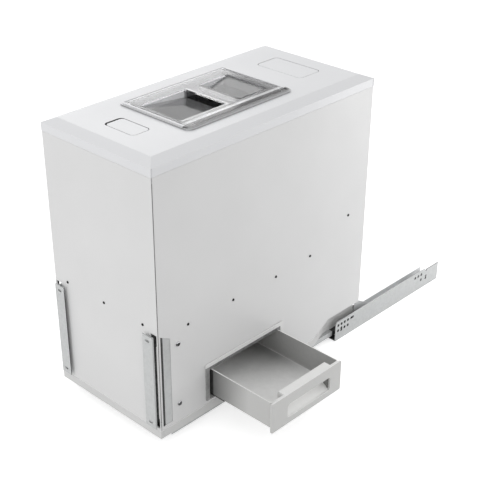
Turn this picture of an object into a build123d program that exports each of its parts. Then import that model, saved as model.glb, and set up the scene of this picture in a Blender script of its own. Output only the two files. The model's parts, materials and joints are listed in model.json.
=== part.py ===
from build123d import *
import os

# Pull-out rice bin for a 300 mm base cabinet, in millimetres.
# +Z up, front (door side) at -Y, drawer side at +X.
# Sizes are laid out from the middle of the base's underside. The finished pieces are then placed with the
# origin at the centre of the four door slots, on the face that lies against the cabinet door.
# The pieces stand as pulled out of the cabinet with the dispensing drawer open.

# Body
body_width = 254.0
body_depth = 516.0
body_height = 494.0
panel_sheet = 1.0
corner_gap = 1.5
cut_overrun = 2.0

# Base tray
base_sheet = 1.2
base_lip = 15.0
base_proud = 1.0
base_flange = 5.0
pocket_length = 130.0
pocket_turn = 40.0
pocket_depth = 13.0
pocket_height = 39.0

# Top cover
skirt_height = 14.8
bevel_drop = 7.8
bevel_inset = 19.7
cover_wall = 2.5
cover_overhang = 0.6
cover_lip_depth = 10.0
cover_lip_wall = 2.0
cover_lip_clearance = 0.3
seam_height = 0.8
seam_depth = 0.9

# Caps in the top cover
cap_thickness = 5.6
cap_radius = 7.0
cap_edge_fillet = 0.8
cap_gap = 0.9
cap_pocket_floor = 2.0
front_cap_width = 65.0
front_cap_length = 36.0
front_cap_inset = 69.0
front_cap_notch = 3.0
rear_cap_width = 101.0
rear_cap_length = 52.0
rear_cap_inset = 78.0

# Inlet frame and its seal
frame_width = 165.0
frame_front_inset = 119.5
frame_rear_inset = 157.0
frame_radius = 12.0
frame_rise = 4.0
frame_edge_fillet = 1.5
rim_width = 7.0
rim_step_width = 3.2
rim_step = 1.6
rim_seat = 5.0
ledge_width = 6.0
ledge_sink = 0.8
ledge_thickness = 4.0
throat_wall = 2.2
throat_depth = 24.0
seal_width = 2.6
seal_radius = 4.0
seal_inset = 1.6
seal_groove = 1.3
seal_proud = 0.8

# Clear lid
lid_plate = 3.2
lid_gap = 0.8
lid_lift = 1.0
lid_radius = 3.0
lid_recess_radius = 1.5
well_wall = 2.0
well_width = 93.0
well_radius = 6.0
well_front_margin = 8.0
well_rear_margin = 17.0
bar_width = 31.0
bar_offset = 12.0
front_well_depth = 14.0
rear_well_depth = 12.0
well_shallow_end = 2.5
hinge_pin_radius = 1.2
hinge_pin_length = 9.0
hinge_pin_grip = 5.0
hinge_clearance = 0.05

# Hopper and outlet spout
hopper_sheet = 1.2
hopper_front_edge = 203.0
hopper_left_edge = 203.0
hopper_right_edge = 188.0
hopper_rear_edge = 255.7
hopper_flange = 12.0
rivet_rise = 6.0
knee_height = 131.0
outlet_height = 100.0
outlet_collar = 8.0
outlet_width = 34.0
outlet_length = 78.7
outlet_side_inset = 27.0
outlet_front_gap = 23.5
spout_wall = 1.2
spout_bottom = 66.0

# Fixings
rivet_radius = 2.4
rivet_head = 1.1
rivet_shank = 1.5
rivet_chamfer = 0.5
side_rivet_shares = (-0.3715, -0.1707, 0.0328, 0.2056, 0.4047)
front_rivet_shares = (-0.369, 0.0, 0.369)
screw_head_radius = 4.2
screw_head = 2.6
screw_shank = 2.4
screw_chamfer = 1.3
screw_heights = (50.4, 167.6)

# Dispensing drawer
drawer_setback = 198.5
drawer_hold = 65.0
front_width = 174.0
front_height = 58.5
front_bottom = 25.0
front_thickness = 4.0
front_radius = 2.5
front_edge_fillet = 0.8
tray_side_gap = 3.0
tray_floor_rise = 8.6
tray_length = 205.0
tray_wall = 2.0
tray_radius = 5.0
tray_floor_fillet = 2.8
slot_width = 108.0
slot_height = 26.5
slot_rise = 12.4
slot_offset = 5.5
slot_radius = 6.0
grip_depth = 16.0
grip_wall = 1.8
grip_margin = 4.0
grip_scoop = 10.0
grip_fillet = 3.0
runner_width = 6.0
runner_length = 92.0
runner_inset = 6.0
runner_drop = 8.4
guide_clearance = 0.3
guide_wall = 1.2
guide_ear = 5.0
guide_foot = 8.0
guide_end_gap = 3.0

# Drawer bezel and the gasket behind it
bezel_gap = 0.9
bezel_side_band = 8.7
bezel_top_band = 12.6
bezel_bottom_band = 1.3
bezel_flange = 1.4
bezel_sleeve = 15.0
bezel_wall = 1.5
bezel_radius = 3.0
bezel_edge_fillet = 0.5
gasket_thickness = 1.6
gasket_inset = 0.8

# Door brackets
bracket_sheet = 1.5
bracket_width = 23.0
bracket_standoff = 5.0
bracket_side_inset = 5.5
bracket_bottom = 20.0
bracket_top = 198.0
bracket_leg = 52.0
bracket_hem = 7.0
bracket_hem_gap = 0.4
bracket_joggle_start = 10.5
bracket_joggle = 1.0
bracket_leg_bottom = 20.8
bracket_slope_gap = 1.5
bracket_ear = 9.0
bracket_ear_length = 23.0
door_slot_length = 9.0
door_slot_radius = 2.3
door_slot_end = 9.5
panel_slot_clearance = 1.0
panel_slot_reach = 2.0
panel_slot_bottom = 19.8
panel_slot_top = 201.0
slot_relief_reach = 3.5
slot_relief_height = 20.0
window_front_inset = 6.0
window_width = 21.0
window_bottom = 21.5
window_cover = 0.8

# Slides
pull_out = 400.0
rail_setback = 45.5
rail_sheet = 1.5
rail_length = 332.0
rail_outer_gap = 3.5
rail_drop = 19.2
rail_top = 22.4
rail_trough = 42.5
rail_upstand = 11.0
rail_tail = 40.0
rail_tail_top = 19.5
rail_tail_slope = 5.0
rail_nose = 3.0
rail_lip_width = 0.7
rail_lip_start = 115.0
rail_lip_length = 165.0
rail_hole_radius = 2.1
rail_hole_pitch = 9.6
rail_hole_start = 7.4
rail_upper_row = 13.5
rail_lower_row = 1.8
rail_slot_length = 8.4
rail_slot_step = 12.4
rail_rear_start = 253.0
rail_rear_pitch = 10.3
rail_notch_station = 290.0
rail_notch_width = 5.0
rail_notch_depth = 6.0
upper_row_holes = 4
rear_row_holes = 3
lower_row_holes = 4

# Middle rails and their rollers
middle_length = 320.0
middle_width = 14.0
middle_height = 11.0
middle_wall = 1.2
middle_outer_inset = 15.0
middle_nose_gap = 2.0
roller_radius = 5.0
roller_width = 5.0
roller_axle = 1.5
roller_axle_grip = 1.2
roller_side_gap = 0.4
roller_clearance = 0.3
lower_roller_shares = (0.67, 0.82, 0.97)
upper_roller_shares = (0.04, 0.3, 0.56)

# Bin rails
bin_rail_sheet = 1.5
bin_rail_width = 31.0
bin_rail_depth = 10.0
bin_rail_outer_inset = 5.0
bin_rail_front_inset = 28.0
bin_rail_tail = 48.0
hook_height = 27.0
hook_inset = 6.5
hook_start = 3.0
hook_flat = 14.0
hook_end_height = 9.0

# Places that several pieces share
half_width = body_width / 2
half_depth = body_depth / 2
inner_x = half_width - panel_sheet
inner_y = half_depth - panel_sheet
bevel_base = body_height - bevel_drop
panel_top = bevel_base - skirt_height
pocket_front = half_depth - pocket_length
pocket_back = pocket_front + pocket_turn
pocket_x = half_width - pocket_depth
frame_front = frame_front_inset - half_depth
frame_rear = half_depth - frame_rear_inset
drawer_y = drawer_setback - half_depth
bezel_face = half_width + gasket_thickness + bezel_flange
drawer_pull = tray_length - drawer_hold
front_face = bezel_face + drawer_pull
tray_bottom = front_bottom + tray_floor_rise
tray_half = front_width / 2 - tray_side_gap
tray_front = front_face - front_thickness
tray_back = tray_front - tray_length
drawer_top = front_bottom + front_height
outlet_right = half_width - outlet_side_inset
outlet_left = outlet_right - outlet_width
outlet_front = drawer_y - tray_half + outlet_front_gap
outlet_rear = outlet_front + outlet_length
ledge_top = body_height - ledge_sink
lid_bottom = ledge_top + lid_lift
lid_top = lid_bottom + lid_plate
lid_half = frame_width / 2 - rim_width - lid_gap
lid_front = frame_front + rim_width + lid_gap
lid_rear = frame_rear - rim_width - lid_gap
hinge_z = lid_bottom + lid_plate / 2
hinge_y = lid_rear - lid_plate / 2
bar_centre = (frame_front + frame_rear) / 2 + bar_offset
rail_face = half_width + rail_outer_gap
rail_front = pull_out + rail_setback - half_depth
rail_rear = rail_front + rail_length
rail_floor = rail_sheet - rail_drop
bracket_face = half_width - bracket_side_inset
bracket_web = bracket_face - bracket_hem
bracket_brow = hopper_front_edge - hopper_sheet - bracket_slope_gap
screw_station = bracket_leg - bracket_ear - half_depth
tray_span = (drawer_y - tray_half, drawer_y + tray_half)
front_span = (drawer_y - front_width / 2, drawer_y + front_width / 2)


def block(x, y, z):
    """Box between three (low, high) spans."""
    spans = (x, y, z)
    size = [high - low for low, high in spans]
    middle = [(high + low) / 2 for low, high in spans]
    return Pos(*middle) * Box(*size)


def rounded_block(x, y, z, radius):
    """Box between three spans, with its upright edges rounded."""
    outline = RectangleRounded(x[1] - x[0], y[1] - y[0], radius)
    return Pos((x[0] + x[1]) / 2, (y[0] + y[1]) / 2, z[0]) * extrude(outline, z[1] - z[0])


def grown(span, amount):
    """A span made longer at both ends."""
    return (span[0] - amount, span[1] + amount)


def even(half):
    """A span from -half to +half."""
    return (-half, half)


def along_x(points, x):
    """Prism of a (y, z) outline between two X stations."""
    face = make_face(Plane.YZ * Polyline(*points, close=True))
    return Pos(x[0], 0, 0) * extrude(face, x[1] - x[0], dir=(1, 0, 0))


def along_y(points, y):
    """Prism of an (x, z) outline between two Y stations."""
    face = make_face(Plane.XZ * Polyline(*points, close=True))
    return Pos(0, y[0], 0) * extrude(face, y[1] - y[0], dir=(0, 1, 0))


def upright(points, z):
    """Prism of an (x, y) outline between two heights."""
    face = make_face(Polyline(*points, close=True))
    return Pos(0, 0, z[0]) * extrude(face, z[1] - z[0], dir=(0, 0, 1))


def folded(path, thickness):
    """Closed outline of a sheet folded along a path, its thickness to the left of the path."""
    corners = [Vector(*point) for point in path]
    ways = [(b - a).normalized() for a, b in zip(corners, corners[1:])]
    sides = [Vector(-way.Y, way.X) for way in ways]
    back = [corners[0] + sides[0] * thickness]
    for corner, before, after in zip(corners[1:], sides, sides[1:]):
        back.append(corner + (before + after) * (thickness / (1 + before.dot(after))))
    back.append(corners[-1] + sides[-1] * thickness)
    return [(point.X, point.Y) for point in corners + back[::-1]]


def rod_x(x, y, z, radius):
    """Round bar along X between two stations."""
    return Pos((x[0] + x[1]) / 2, y, z) * Rot(0, 90, 0) * Cylinder(radius, x[1] - x[0])


def rod_y(x, y, z, radius):
    """Round bar along Y between two stations."""
    return Pos(x, (y[0] + y[1]) / 2, z) * Rot(90, 0, 0) * Cylinder(radius, y[1] - y[0])


def slot_x(x, y, z, length, radius, upright_slot=False):
    """Round-ended slot cut along X, lying along Y or standing along Z."""
    turn = 90 if upright_slot else 0
    outline = Plane.YZ * Rot(0, 0, turn) * SlotOverall(length, 2 * radius)
    return Pos(x[0], y, z) * extrude(outline, x[1] - x[0], dir=(1, 0, 0))


def slot_y(x, y, z, length, radius):
    """Round-ended slot cut along Y, lying along X."""
    outline = Plane.XZ * SlotOverall(length, 2 * radius)
    return Pos(x, y[0], z) * extrude(outline, y[1] - y[0], dir=(0, 1, 0))


def other_side(piece):
    """The same piece on the left of the bin."""
    return mirror(piece, about=Plane.YZ)


def hopper_edges(side):
    """Height of the hopper's floor along a side wall, as a function of Y."""
    edge = hopper_right_edge if side > 0 else hopper_left_edge
    rise = (hopper_rear_edge - knee_height) / (inner_y - outlet_rear)
    return lambda y: max(edge, knee_height + rise * (y - outlet_rear))


def rivet_places():
    """Rivet places as (wall axis, outward sign, along, height)."""
    places = []
    for side in (1, -1):
        edge = hopper_edges(side)
        for share in side_rivet_shares:
            y = share * body_depth
            places.append(("x", side, y, edge(y) + rivet_rise))
    for side, height in ((-1, hopper_front_edge), (1, hopper_rear_edge)):
        for share in front_rivet_shares:
            places.append(("y", side, share * body_width, height + rivet_rise))
    return places


def rivet_bar(place, depths, radius):
    """Round bar square to a wall at a rivet, between two depths from the wall's face."""
    wall, side, along, height = place
    face = half_width if wall == "x" else half_depth
    span = sorted(side * (face + depth) for depth in depths)
    if wall == "x":
        return rod_x(span, along, height, radius)
    return rod_y(along, span, height, radius)


def wall_holes(wall, side):
    """Rivet holes through one wall and the hopper's flange behind it."""
    depths = (-panel_sheet - hopper_sheet - cut_overrun, cut_overrun)
    return [rivet_bar(p, depths, rivet_shank) for p in rivet_places() if p[:2] == (wall, side)]


def base_outline(half_x, half_y, pocket, front):
    """Plan of the base, drawn in along both sides towards the rear."""
    right = [(half_x, -half_y), (half_x, front), (pocket, pocket_back), (pocket, half_y)]
    return right + [(-x, y) for x, y in right[::-1]]


def make_base():
    """Shallow folded tray with a stepped rim and a slide pocket at each rear corner."""
    lip_x = half_width + base_proud
    lip_y = half_depth + base_proud
    rim = base_lip + base_flange
    tray = upright(base_outline(lip_x, lip_y, pocket_x, pocket_front), (0, base_lip))
    tray += upright(base_outline(inner_x, inner_y, pocket_x, pocket_front), (0, rim))
    well_x = lip_x - base_sheet
    well_y = lip_y - base_sheet
    deep_x = pocket_x - base_sheet
    front = pocket_front - base_sheet
    tray -= upright(base_outline(well_x, well_y, deep_x, front), (base_sheet, base_lip - base_sheet))
    throat_x = inner_x - base_sheet
    throat_y = inner_y - base_sheet
    tray -= upright(base_outline(throat_x, throat_y, deep_x, front), (base_sheet, rim + cut_overrun))
    for side in (1, -1):
        hood = make_pocket_hood()
        tray += hood if side > 0 else other_side(hood)
    return tray


def make_pocket_hood():
    """Wall and roof of the right slide pocket, closing the side panel's cut-out."""
    wall = [(inner_x, pocket_front), (pocket_x, pocket_back), (pocket_x, inner_y)]
    shell = upright(folded(wall, base_sheet), (0, pocket_height))
    roof = wall + [(inner_x, inner_y)]
    return shell + upright(roof, (pocket_height - base_sheet, pocket_height))


def bracket_roof(y):
    """Height of the door bracket's side leg, which stays below the hopper's front sheet."""
    slope = (hopper_front_edge - knee_height) / (outlet_front + inner_y)
    return bracket_brow - slope * (y + half_depth)


def bracket_window(side):
    """Opening in a side panel over the door bracket's side leg."""
    front = window_front_inset - half_depth
    rear = front + window_width
    x = sorted((side * (inner_x - cut_overrun), side * (half_width + cut_overrun)))
    outline = [(front, window_bottom), (rear, window_bottom), (rear, bracket_roof(rear) - window_cover),
               (front, bracket_roof(front) - window_cover)]
    return along_x(outline, x)


def make_side_panel(side):
    """Flat side sheet with its rear cut-out, bracket window and fixing holes."""
    x = sorted((side * inner_x, side * half_width))
    through = grown(x, cut_overrun)
    panel = block(x, (corner_gap - inner_y, inner_y), (base_lip, panel_top))
    cutout = [(pocket_front, base_lip - cut_overrun), (pocket_front, base_lip),
              (pocket_back, pocket_height), (half_depth, pocket_height),
              (half_depth, base_lip - cut_overrun)]
    panel -= along_x(cutout, through)
    panel -= bracket_window(side)
    panel -= wall_holes("x", side)
    for height in screw_heights:
        panel -= rod_x(through, screw_station, height, screw_shank)
    if side > 0:
        y, z = sleeve_spans(bezel_wall)
        panel -= block(through, y, z)
    return panel


def make_front_panel():
    """Front sheet with the slots that the door brackets come through."""
    through = (-half_depth - cut_overrun, cut_overrun - inner_y)
    panel = block(even(half_width), (-half_depth, -inner_y), (base_lip, panel_top))
    inside = bracket_web - bracket_sheet - panel_slot_clearance
    for side in (1, -1):
        for reach, z in ((panel_slot_reach, (panel_slot_bottom, panel_slot_top)),
                         (slot_relief_reach, (panel_slot_bottom, panel_slot_bottom + slot_relief_height)),
                         (slot_relief_reach, (panel_slot_top - slot_relief_height, panel_slot_top))):
            panel -= block(sorted((side * inside, side * (bracket_face + reach))), through, z)
    return panel - wall_holes("y", -1)


def make_back_panel():
    """Rear sheet, notched over both slide pockets."""
    through = (inner_y - cut_overrun, half_depth + cut_overrun)
    panel = block(even(half_width), (inner_y, half_depth), (base_lip, panel_top))
    for side in (1, -1):
        x = sorted((side * (pocket_x - base_sheet), side * (half_width + cut_overrun)))
        panel -= block(x, through, (base_lip - cut_overrun, pocket_height))
    return panel - wall_holes("y", 1)


def frustum(half_x, half_y, inset, z):
    """Block whose four sides lean in from its lower to its upper face."""
    low = Pos(0, 0, z[0]) * Rectangle(2 * half_x, 2 * half_y)
    high = Pos(0, 0, z[1]) * Rectangle(2 * (half_x - inset), 2 * (half_y - inset))
    return loft([low.face(), high.face()])


def cap_spans(width, length, middle):
    """X and Y spans of a cap set in the top cover."""
    return even(width / 2), (middle - length / 2, middle + length / 2)


def front_cap_spans():
    """X and Y spans of the front cap."""
    return cap_spans(front_cap_width, front_cap_length, front_cap_inset - half_depth)


def rear_cap_spans():
    """X and Y spans of the rear cap."""
    return cap_spans(rear_cap_width, rear_cap_length, half_depth - rear_cap_inset)


def cap_pockets():
    """X and Y spans of the recess around each cap, with the front one's lifting notch."""
    x, y = front_cap_spans()
    notched = (x[0] - cap_gap - front_cap_notch, x[1] + cap_gap)
    rear_x, rear_y = rear_cap_spans()
    return [(notched, grown(y, cap_gap)), (grown(rear_x, cap_gap), grown(rear_y, cap_gap))]


def frame_opening(margin):
    """X and Y spans inside the inlet frame's outer edge."""
    return even(frame_width / 2 - margin), (frame_front + margin, frame_rear - margin)


def make_cover():
    """Bevelled top with a skirt, a locating lip, the inlet opening and two cap recesses."""
    outer_x = half_width + cover_overhang
    outer_y = half_depth + cover_overhang
    skirt = block(even(outer_x), even(outer_y), (panel_top, bevel_base))
    cover = skirt + frustum(outer_x, outer_y, bevel_inset, (bevel_base, body_height))
    hollow_x = outer_x - cover_wall
    hollow_y = outer_y - cover_wall
    under = bevel_base - cover_wall
    cover -= block(even(hollow_x), even(hollow_y), (panel_top - cut_overrun, under))
    cover -= frustum(hollow_x, hollow_y, bevel_inset, (under, body_height - cover_wall))
    cover += make_cover_lip(hollow_x, hollow_y)
    pocket_bottom = body_height - cap_thickness
    for x, y in cap_pockets():
        radius = cap_radius + cap_gap
        boss = (pocket_bottom - cap_pocket_floor, body_height - cover_wall)
        cover += rounded_block(grown(x, cover_wall), grown(y, cover_wall), boss, radius)
        cover -= rounded_block(x, y, (pocket_bottom, body_height + cut_overrun), radius)
    x, y = front_cap_spans()
    notch = (x[0] - cap_gap - front_cap_notch, x[0] - cap_gap)
    cover -= block(notch, grown(y, -cap_radius), (panel_top, body_height + cut_overrun))
    cover -= rounded_block(*frame_opening(rim_seat), (panel_top, body_height + cut_overrun),
                           frame_radius - rim_seat)
    seam = (panel_top - cut_overrun, panel_top + seam_height)
    ring = block(even(outer_x + cut_overrun), even(outer_y + cut_overrun), seam)
    ring -= block(even(outer_x - seam_depth), even(outer_y - seam_depth), seam)
    cover -= ring
    for side in (1, -1):
        for end in (1, -1):
            y = sorted((end * inner_y, end * (inner_y - corner_gap)))
            x = sorted((side * (outer_x - seam_depth), side * (outer_x + cut_overrun)))
            cover -= block(x, y, (panel_top, bevel_base))
    return cover


def make_cover_lip(hollow_x, hollow_y):
    """Downward lip that locates the cover inside the four panels."""
    lip_x = inner_x - cover_lip_clearance
    lip_y = inner_y - cover_lip_clearance
    z = (panel_top - cover_lip_depth, panel_top)
    lip = block(even(lip_x), even(lip_y), z)
    lip -= block(even(lip_x - cover_lip_wall), even(lip_y - cover_lip_wall), grown(z, cut_overrun))
    tie = (panel_top, panel_top + cover_lip_wall)
    band = block(even(hollow_x), even(hollow_y), tie)
    band -= block(even(lip_x - cover_lip_wall), even(lip_y - cover_lip_wall), grown(tie, cut_overrun))
    return lip + band


def make_cap(x, y):
    """Drop-in cap, flush with the cover."""
    cap = rounded_block(x, y, (body_height - cap_thickness, body_height), cap_radius)
    return fillet(cap.edges().group_by(Axis.Z)[-1], cap_edge_fillet)


def make_frame():
    """Raised inlet surround with a sunk ledge for the lid and a throat into the bin."""
    rim_z = (body_height, body_height + frame_rise)
    frame = rounded_block(*frame_opening(0), rim_z, frame_radius)
    frame = fillet(frame.edges().group_by(Axis.Z)[-1], frame_edge_fillet)
    step_z = (body_height + frame_rise - rim_step, body_height + frame_rise + cut_overrun)
    band = rounded_block(*frame_opening(-cut_overrun), step_z, frame_radius)
    frame -= band - rounded_block(*frame_opening(rim_step_width), step_z, frame_radius - rim_step_width)
    seat_z = (ledge_top - ledge_thickness, body_height)
    frame += rounded_block(*frame_opening(rim_seat), seat_z, frame_radius - rim_seat)
    lip = rim_width + ledge_width
    throat_radius = frame_radius - rim_seat
    throat_z = (body_height - throat_depth, ledge_top - ledge_thickness)
    frame += rounded_block(*frame_opening(lip - throat_wall), throat_z, throat_radius)
    above = body_height + frame_rise + cut_overrun
    frame -= rounded_block(*frame_opening(rim_width), (ledge_top, above), lid_recess_radius)
    frame -= rounded_block(*frame_opening(lip), (throat_z[0] - cut_overrun, above),
                           throat_radius - throat_wall)
    frame -= make_seal_ring((ledge_top - seal_groove, ledge_top + cut_overrun))
    for side in (1, -1):
        frame -= hinge_bar(side, hinge_pin_radius + hinge_clearance)
    return frame


def make_seal_ring(z):
    """Ring that runs round the inlet frame's ledge."""
    outer = rim_width + seal_inset
    ring = rounded_block(*frame_opening(outer), z, seal_radius)
    hole = rounded_block(*frame_opening(outer + seal_width), grown(z, cut_overrun),
                         seal_radius - seal_width)
    return ring - hole


def make_seal():
    """Soft sealing ring under the lid."""
    return make_seal_ring((ledge_top - seal_groove, ledge_top + seal_proud))


def hinge_bar(side, radius):
    """One hinge pin's cylinder, from inside the lid's plate into the frame's rim."""
    x = sorted((side * (lid_half - hinge_pin_grip), side * (lid_half - hinge_pin_grip + hinge_pin_length)))
    return rod_x(x, hinge_y, hinge_z, radius)


def well_prism(y, depths, drop, half):
    """Wedge-shaped well under the lid, its floor sloping from one end to the other."""
    top = lid_top + cut_overrun if drop == 0 else lid_bottom + lid_plate / 2
    low, high = (lid_top - depth - drop for depth in depths)
    wedge = along_x([(y[0], top), (y[0], low), (y[1], high), (y[1], top)], even(half))
    return fillet(wedge.edges().filter_by(Axis.Z), well_radius)


def make_lid():
    """Clear moulded plate with a grip bar between two sloping finger wells."""
    plate = rounded_block(even(lid_half), (lid_front, lid_rear), (lid_bottom, lid_top), lid_radius)
    back = plate.edges().filter_by(Axis.X).group_by(Axis.Y)[-1]
    plate = fillet(back, lid_plate / 2 - hinge_clearance)
    bar = (bar_centre - bar_width / 2, bar_centre + bar_width / 2)
    wells = (((lid_front + well_front_margin, bar[0]), (well_shallow_end, front_well_depth)),
             ((bar[1], lid_rear - well_rear_margin), (rear_well_depth, well_shallow_end)))
    for y, depths in wells:
        plate += well_prism(grown(y, well_wall), depths, well_wall, well_width / 2 + well_wall)
    for y, depths in wells:
        plate -= well_prism(y, depths, 0, well_width / 2)
    for side in (1, -1):
        plate -= hinge_bar(side, hinge_pin_radius)
    return plate


def make_hinge_pins():
    """The lid's two pins, fixed in the lid and turning in the frame."""
    return Part() + [hinge_bar(side, hinge_pin_radius) for side in (1, -1)]


def hopper_slopes(shift):
    """Outlines under the hopper's four floors, moved up or down: two along X, then two along Y."""
    low = outlet_height + shift
    knee = knee_height + shift
    below = outlet_height - outlet_collar - cut_overrun
    rear = [(outlet_rear, below), (outlet_rear, knee), (inner_y, hopper_rear_edge + shift), (inner_y, below)]
    front = [(outlet_front, below), (outlet_front, knee), (-inner_y, hopper_front_edge + shift),
             (-inner_y, below)]
    right = [(outlet_right, below), (outlet_right, knee), (inner_x, hopper_right_edge + shift),
             (inner_x, below)]
    left = [(outlet_left, below), (outlet_left, low), (-inner_x, hopper_left_edge + shift),
            (-inner_x, below)]
    return (rear, front), (right, left)


def hopper_space(shift):
    """The room above the hopper's four sloping floors, moved up or down."""
    room = block(even(inner_x), even(inner_y), (outlet_height + shift, panel_top))
    across, lengthwise = hopper_slopes(shift)
    for outline in across:
        room -= along_x(outline, even(half_width + cut_overrun))
    for outline in lengthwise:
        room -= along_y(outline, even(half_depth + cut_overrun))
    return room


def make_hopper():
    """Four-sided sheet funnel with an upright neck and a flange riveted to the walls round its edge."""
    space = hopper_space(0)
    collar_low = outlet_height - outlet_collar
    outlet_x = (outlet_left, outlet_right)
    outlet_y = (outlet_front, outlet_rear)
    neck = block((-inner_x, outlet_right + hopper_sheet), grown(outlet_y, hopper_sheet),
                 (outlet_height, knee_height))
    under_left = hopper_slopes(-hopper_sheet)[1][1]
    neck -= along_y(under_left, even(half_depth + cut_overrun))
    collar = block(grown(outlet_x, hopper_sheet), grown(outlet_y, hopper_sheet), (collar_low, outlet_height))
    tall = (outlet_height, panel_top)
    ring = block(even(inner_x), even(inner_y), tall)
    ring -= block(even(inner_x - hopper_sheet), even(inner_y - hopper_sheet), grown(tall, cut_overrun))
    flange = (space - hopper_space(hopper_flange)) & ring
    hopper = hopper_space(-hopper_sheet) + neck + collar - space + flange
    hopper -= block(outlet_x, outlet_y, (collar_low - cut_overrun, knee_height))
    for wall, side in (("x", 1), ("x", -1), ("y", 1), ("y", -1)):
        hopper -= wall_holes(wall, side)
    return hopper


def make_spout():
    """Square tube from the hopper's outlet down into the drawer."""
    x = (outlet_left, outlet_right)
    y = (outlet_front, outlet_rear)
    z = (spout_bottom, outlet_height)
    return block(x, y, z) - block(grown(x, -spout_wall), grown(y, -spout_wall), grown(z, cut_overrun))


def make_rivets():
    """Every blind rivet: a low round head and a shank through wall and flange."""
    rivets = []
    for place in rivet_places():
        head = rivet_bar(place, (0, rivet_head), rivet_radius)
        axis = Axis.X if place[0] == "x" else Axis.Y
        rims = head.edges().filter_by(GeomType.CIRCLE).sort_by(axis)
        head = chamfer(rims[-1] if place[1] > 0 else rims[0], rivet_chamfer)
        rivets.append(head + rivet_bar(place, (-panel_sheet - hopper_sheet, 0), rivet_shank))
    return Part() + rivets


def make_screws():
    """The round-headed screws that hold both door brackets to the side panels."""
    screws = []
    for side in (1, -1):
        for height in screw_heights:
            face = half_width
            head = rod_x(sorted((side * face, side * (face + screw_head))), screw_station, height,
                         screw_head_radius)
            rims = head.edges().filter_by(GeomType.CIRCLE).sort_by(Axis.X)
            head = chamfer(rims[-1] if side > 0 else rims[0], screw_chamfer)
            depth = face - panel_sheet - bracket_sheet
            shank = rod_x(sorted((side * depth, side * face)), screw_station, height, screw_shank)
            screws.append(head + shank)
    return Part() + screws


def make_bracket():
    """Right door bracket: a slotted front leg and a stepped side leg inside the side panel."""
    front = -half_depth - bracket_standoff - bracket_sheet
    joggle = bracket_joggle_start - half_depth
    seat = joggle + bracket_joggle
    end = bracket_leg - half_depth
    hem = front + 2 * bracket_sheet + bracket_hem_gap
    path = [(bracket_face - bracket_width, front), (bracket_face, front), (bracket_face, hem),
            (bracket_web, hem), (bracket_web, joggle), (inner_x, seat), (inner_x, end)]
    bracket = upright(folded(path, bracket_sheet), (bracket_bottom, bracket_top))
    outside = (bracket_face - 2 * bracket_width, half_width)
    low = bracket_bottom - cut_overrun
    above = bracket_top + cut_overrun
    roof = [(-inner_y, above), (-inner_y, bracket_roof(-inner_y)), (end, bracket_roof(end)), (end, above)]
    bracket -= along_x(roof, outside)
    bracket -= block(outside, (-half_depth, end), (low, bracket_leg_bottom))
    ear = end - bracket_ear_length
    waist = (screw_heights[0] + bracket_ear, screw_heights[1] - bracket_ear)
    bracket -= block(outside, (ear, end + cut_overrun), waist)
    bracket -= block(outside, (ear, end + cut_overrun), (low, screw_heights[0] - bracket_ear))
    bracket -= block(outside, (ear, end + cut_overrun),
                     (screw_heights[1] + bracket_ear, above))
    for height in screw_heights:
        bracket -= rod_x(outside, screw_station, height, screw_shank)
    cut = (front - cut_overrun, front + bracket_sheet + cut_overrun)
    middle = bracket_face - bracket_width / 2
    for height in (bracket_bottom + door_slot_end, bracket_top - door_slot_end):
        bracket -= slot_y(middle, cut, height, door_slot_length, door_slot_radius)
    return bracket


def sleeve_spans(margin):
    """Y and Z spans of the drawer's opening, made larger by a margin."""
    y = grown(front_span, bezel_gap + margin)
    z = grown((front_bottom, drawer_top), bezel_gap + margin)
    return y, z


def bezel_plate(x, inset):
    """Slab with the bezel's outline, drawn in by an inset."""
    y, z = sleeve_spans(0)
    outer_y = grown(y, bezel_side_band - inset)
    outer_z = (z[0] - bezel_bottom_band + inset, z[1] + bezel_top_band - inset)
    return slot_block(x, outer_y, outer_z, bezel_radius - inset)


def make_bezel():
    """Slim surround of the drawer's opening, with a sleeve through the side panel."""
    flange_back = bezel_face - bezel_flange
    bezel = bezel_plate((flange_back, bezel_face), 0)
    bezel = fillet(bezel.edges().group_by(Axis.X)[-1], bezel_edge_fillet)
    sleeve_x = (half_width - bezel_sleeve, bezel_face)
    bezel += block((sleeve_x[0], flange_back), *sleeve_spans(bezel_wall))
    return bezel - block(grown(sleeve_x, cut_overrun), *sleeve_spans(0))


def make_gasket():
    """Soft ring between the bezel's flange and the side panel."""
    x = (half_width, half_width + gasket_thickness)
    return bezel_plate(x, gasket_inset) - block(grown(x, cut_overrun), *sleeve_spans(bezel_wall))


def make_tray():
    """Open drawer tray with rounded corners and a cut-out for the grip."""
    x = (tray_back, tray_front)
    z = (tray_bottom, drawer_top)
    tray = rounded_block(x, tray_span, z, tray_radius)
    room = rounded_block(grown(x, -tray_wall), grown(tray_span, -tray_wall),
                         (tray_bottom + tray_wall, drawer_top + cut_overrun), tray_radius - tray_wall)
    tray -= fillet(room.edges().group_by(Axis.Z)[0], tray_floor_fillet)
    y, grip_z = grip_spans()
    return tray - block((tray_front - grip_depth, tray_front + cut_overrun), y,
                        (grip_z[0], drawer_top + cut_overrun))


def slot_spans():
    """Y and Z spans of the handle slot."""
    middle = drawer_y + slot_offset
    low = front_bottom + slot_rise
    return (middle - slot_width / 2, middle + slot_width / 2), (low, low + slot_height)


def grip_spans():
    """Y and Z spans of the handle's grip pocket behind the drawer front."""
    y, z = slot_spans()
    return grown(y, grip_margin), (z[0] - grip_wall, drawer_top)


def slot_block(x, y, z, radius):
    """Block along X with the four edges that run along X rounded."""
    outline = Plane.YZ * RectangleRounded(y[1] - y[0], z[1] - z[0], radius)
    return Pos(x[0], (y[0] + y[1]) / 2, (z[0] + z[1]) / 2) * extrude(outline, x[1] - x[0], dir=(1, 0, 0))


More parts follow.
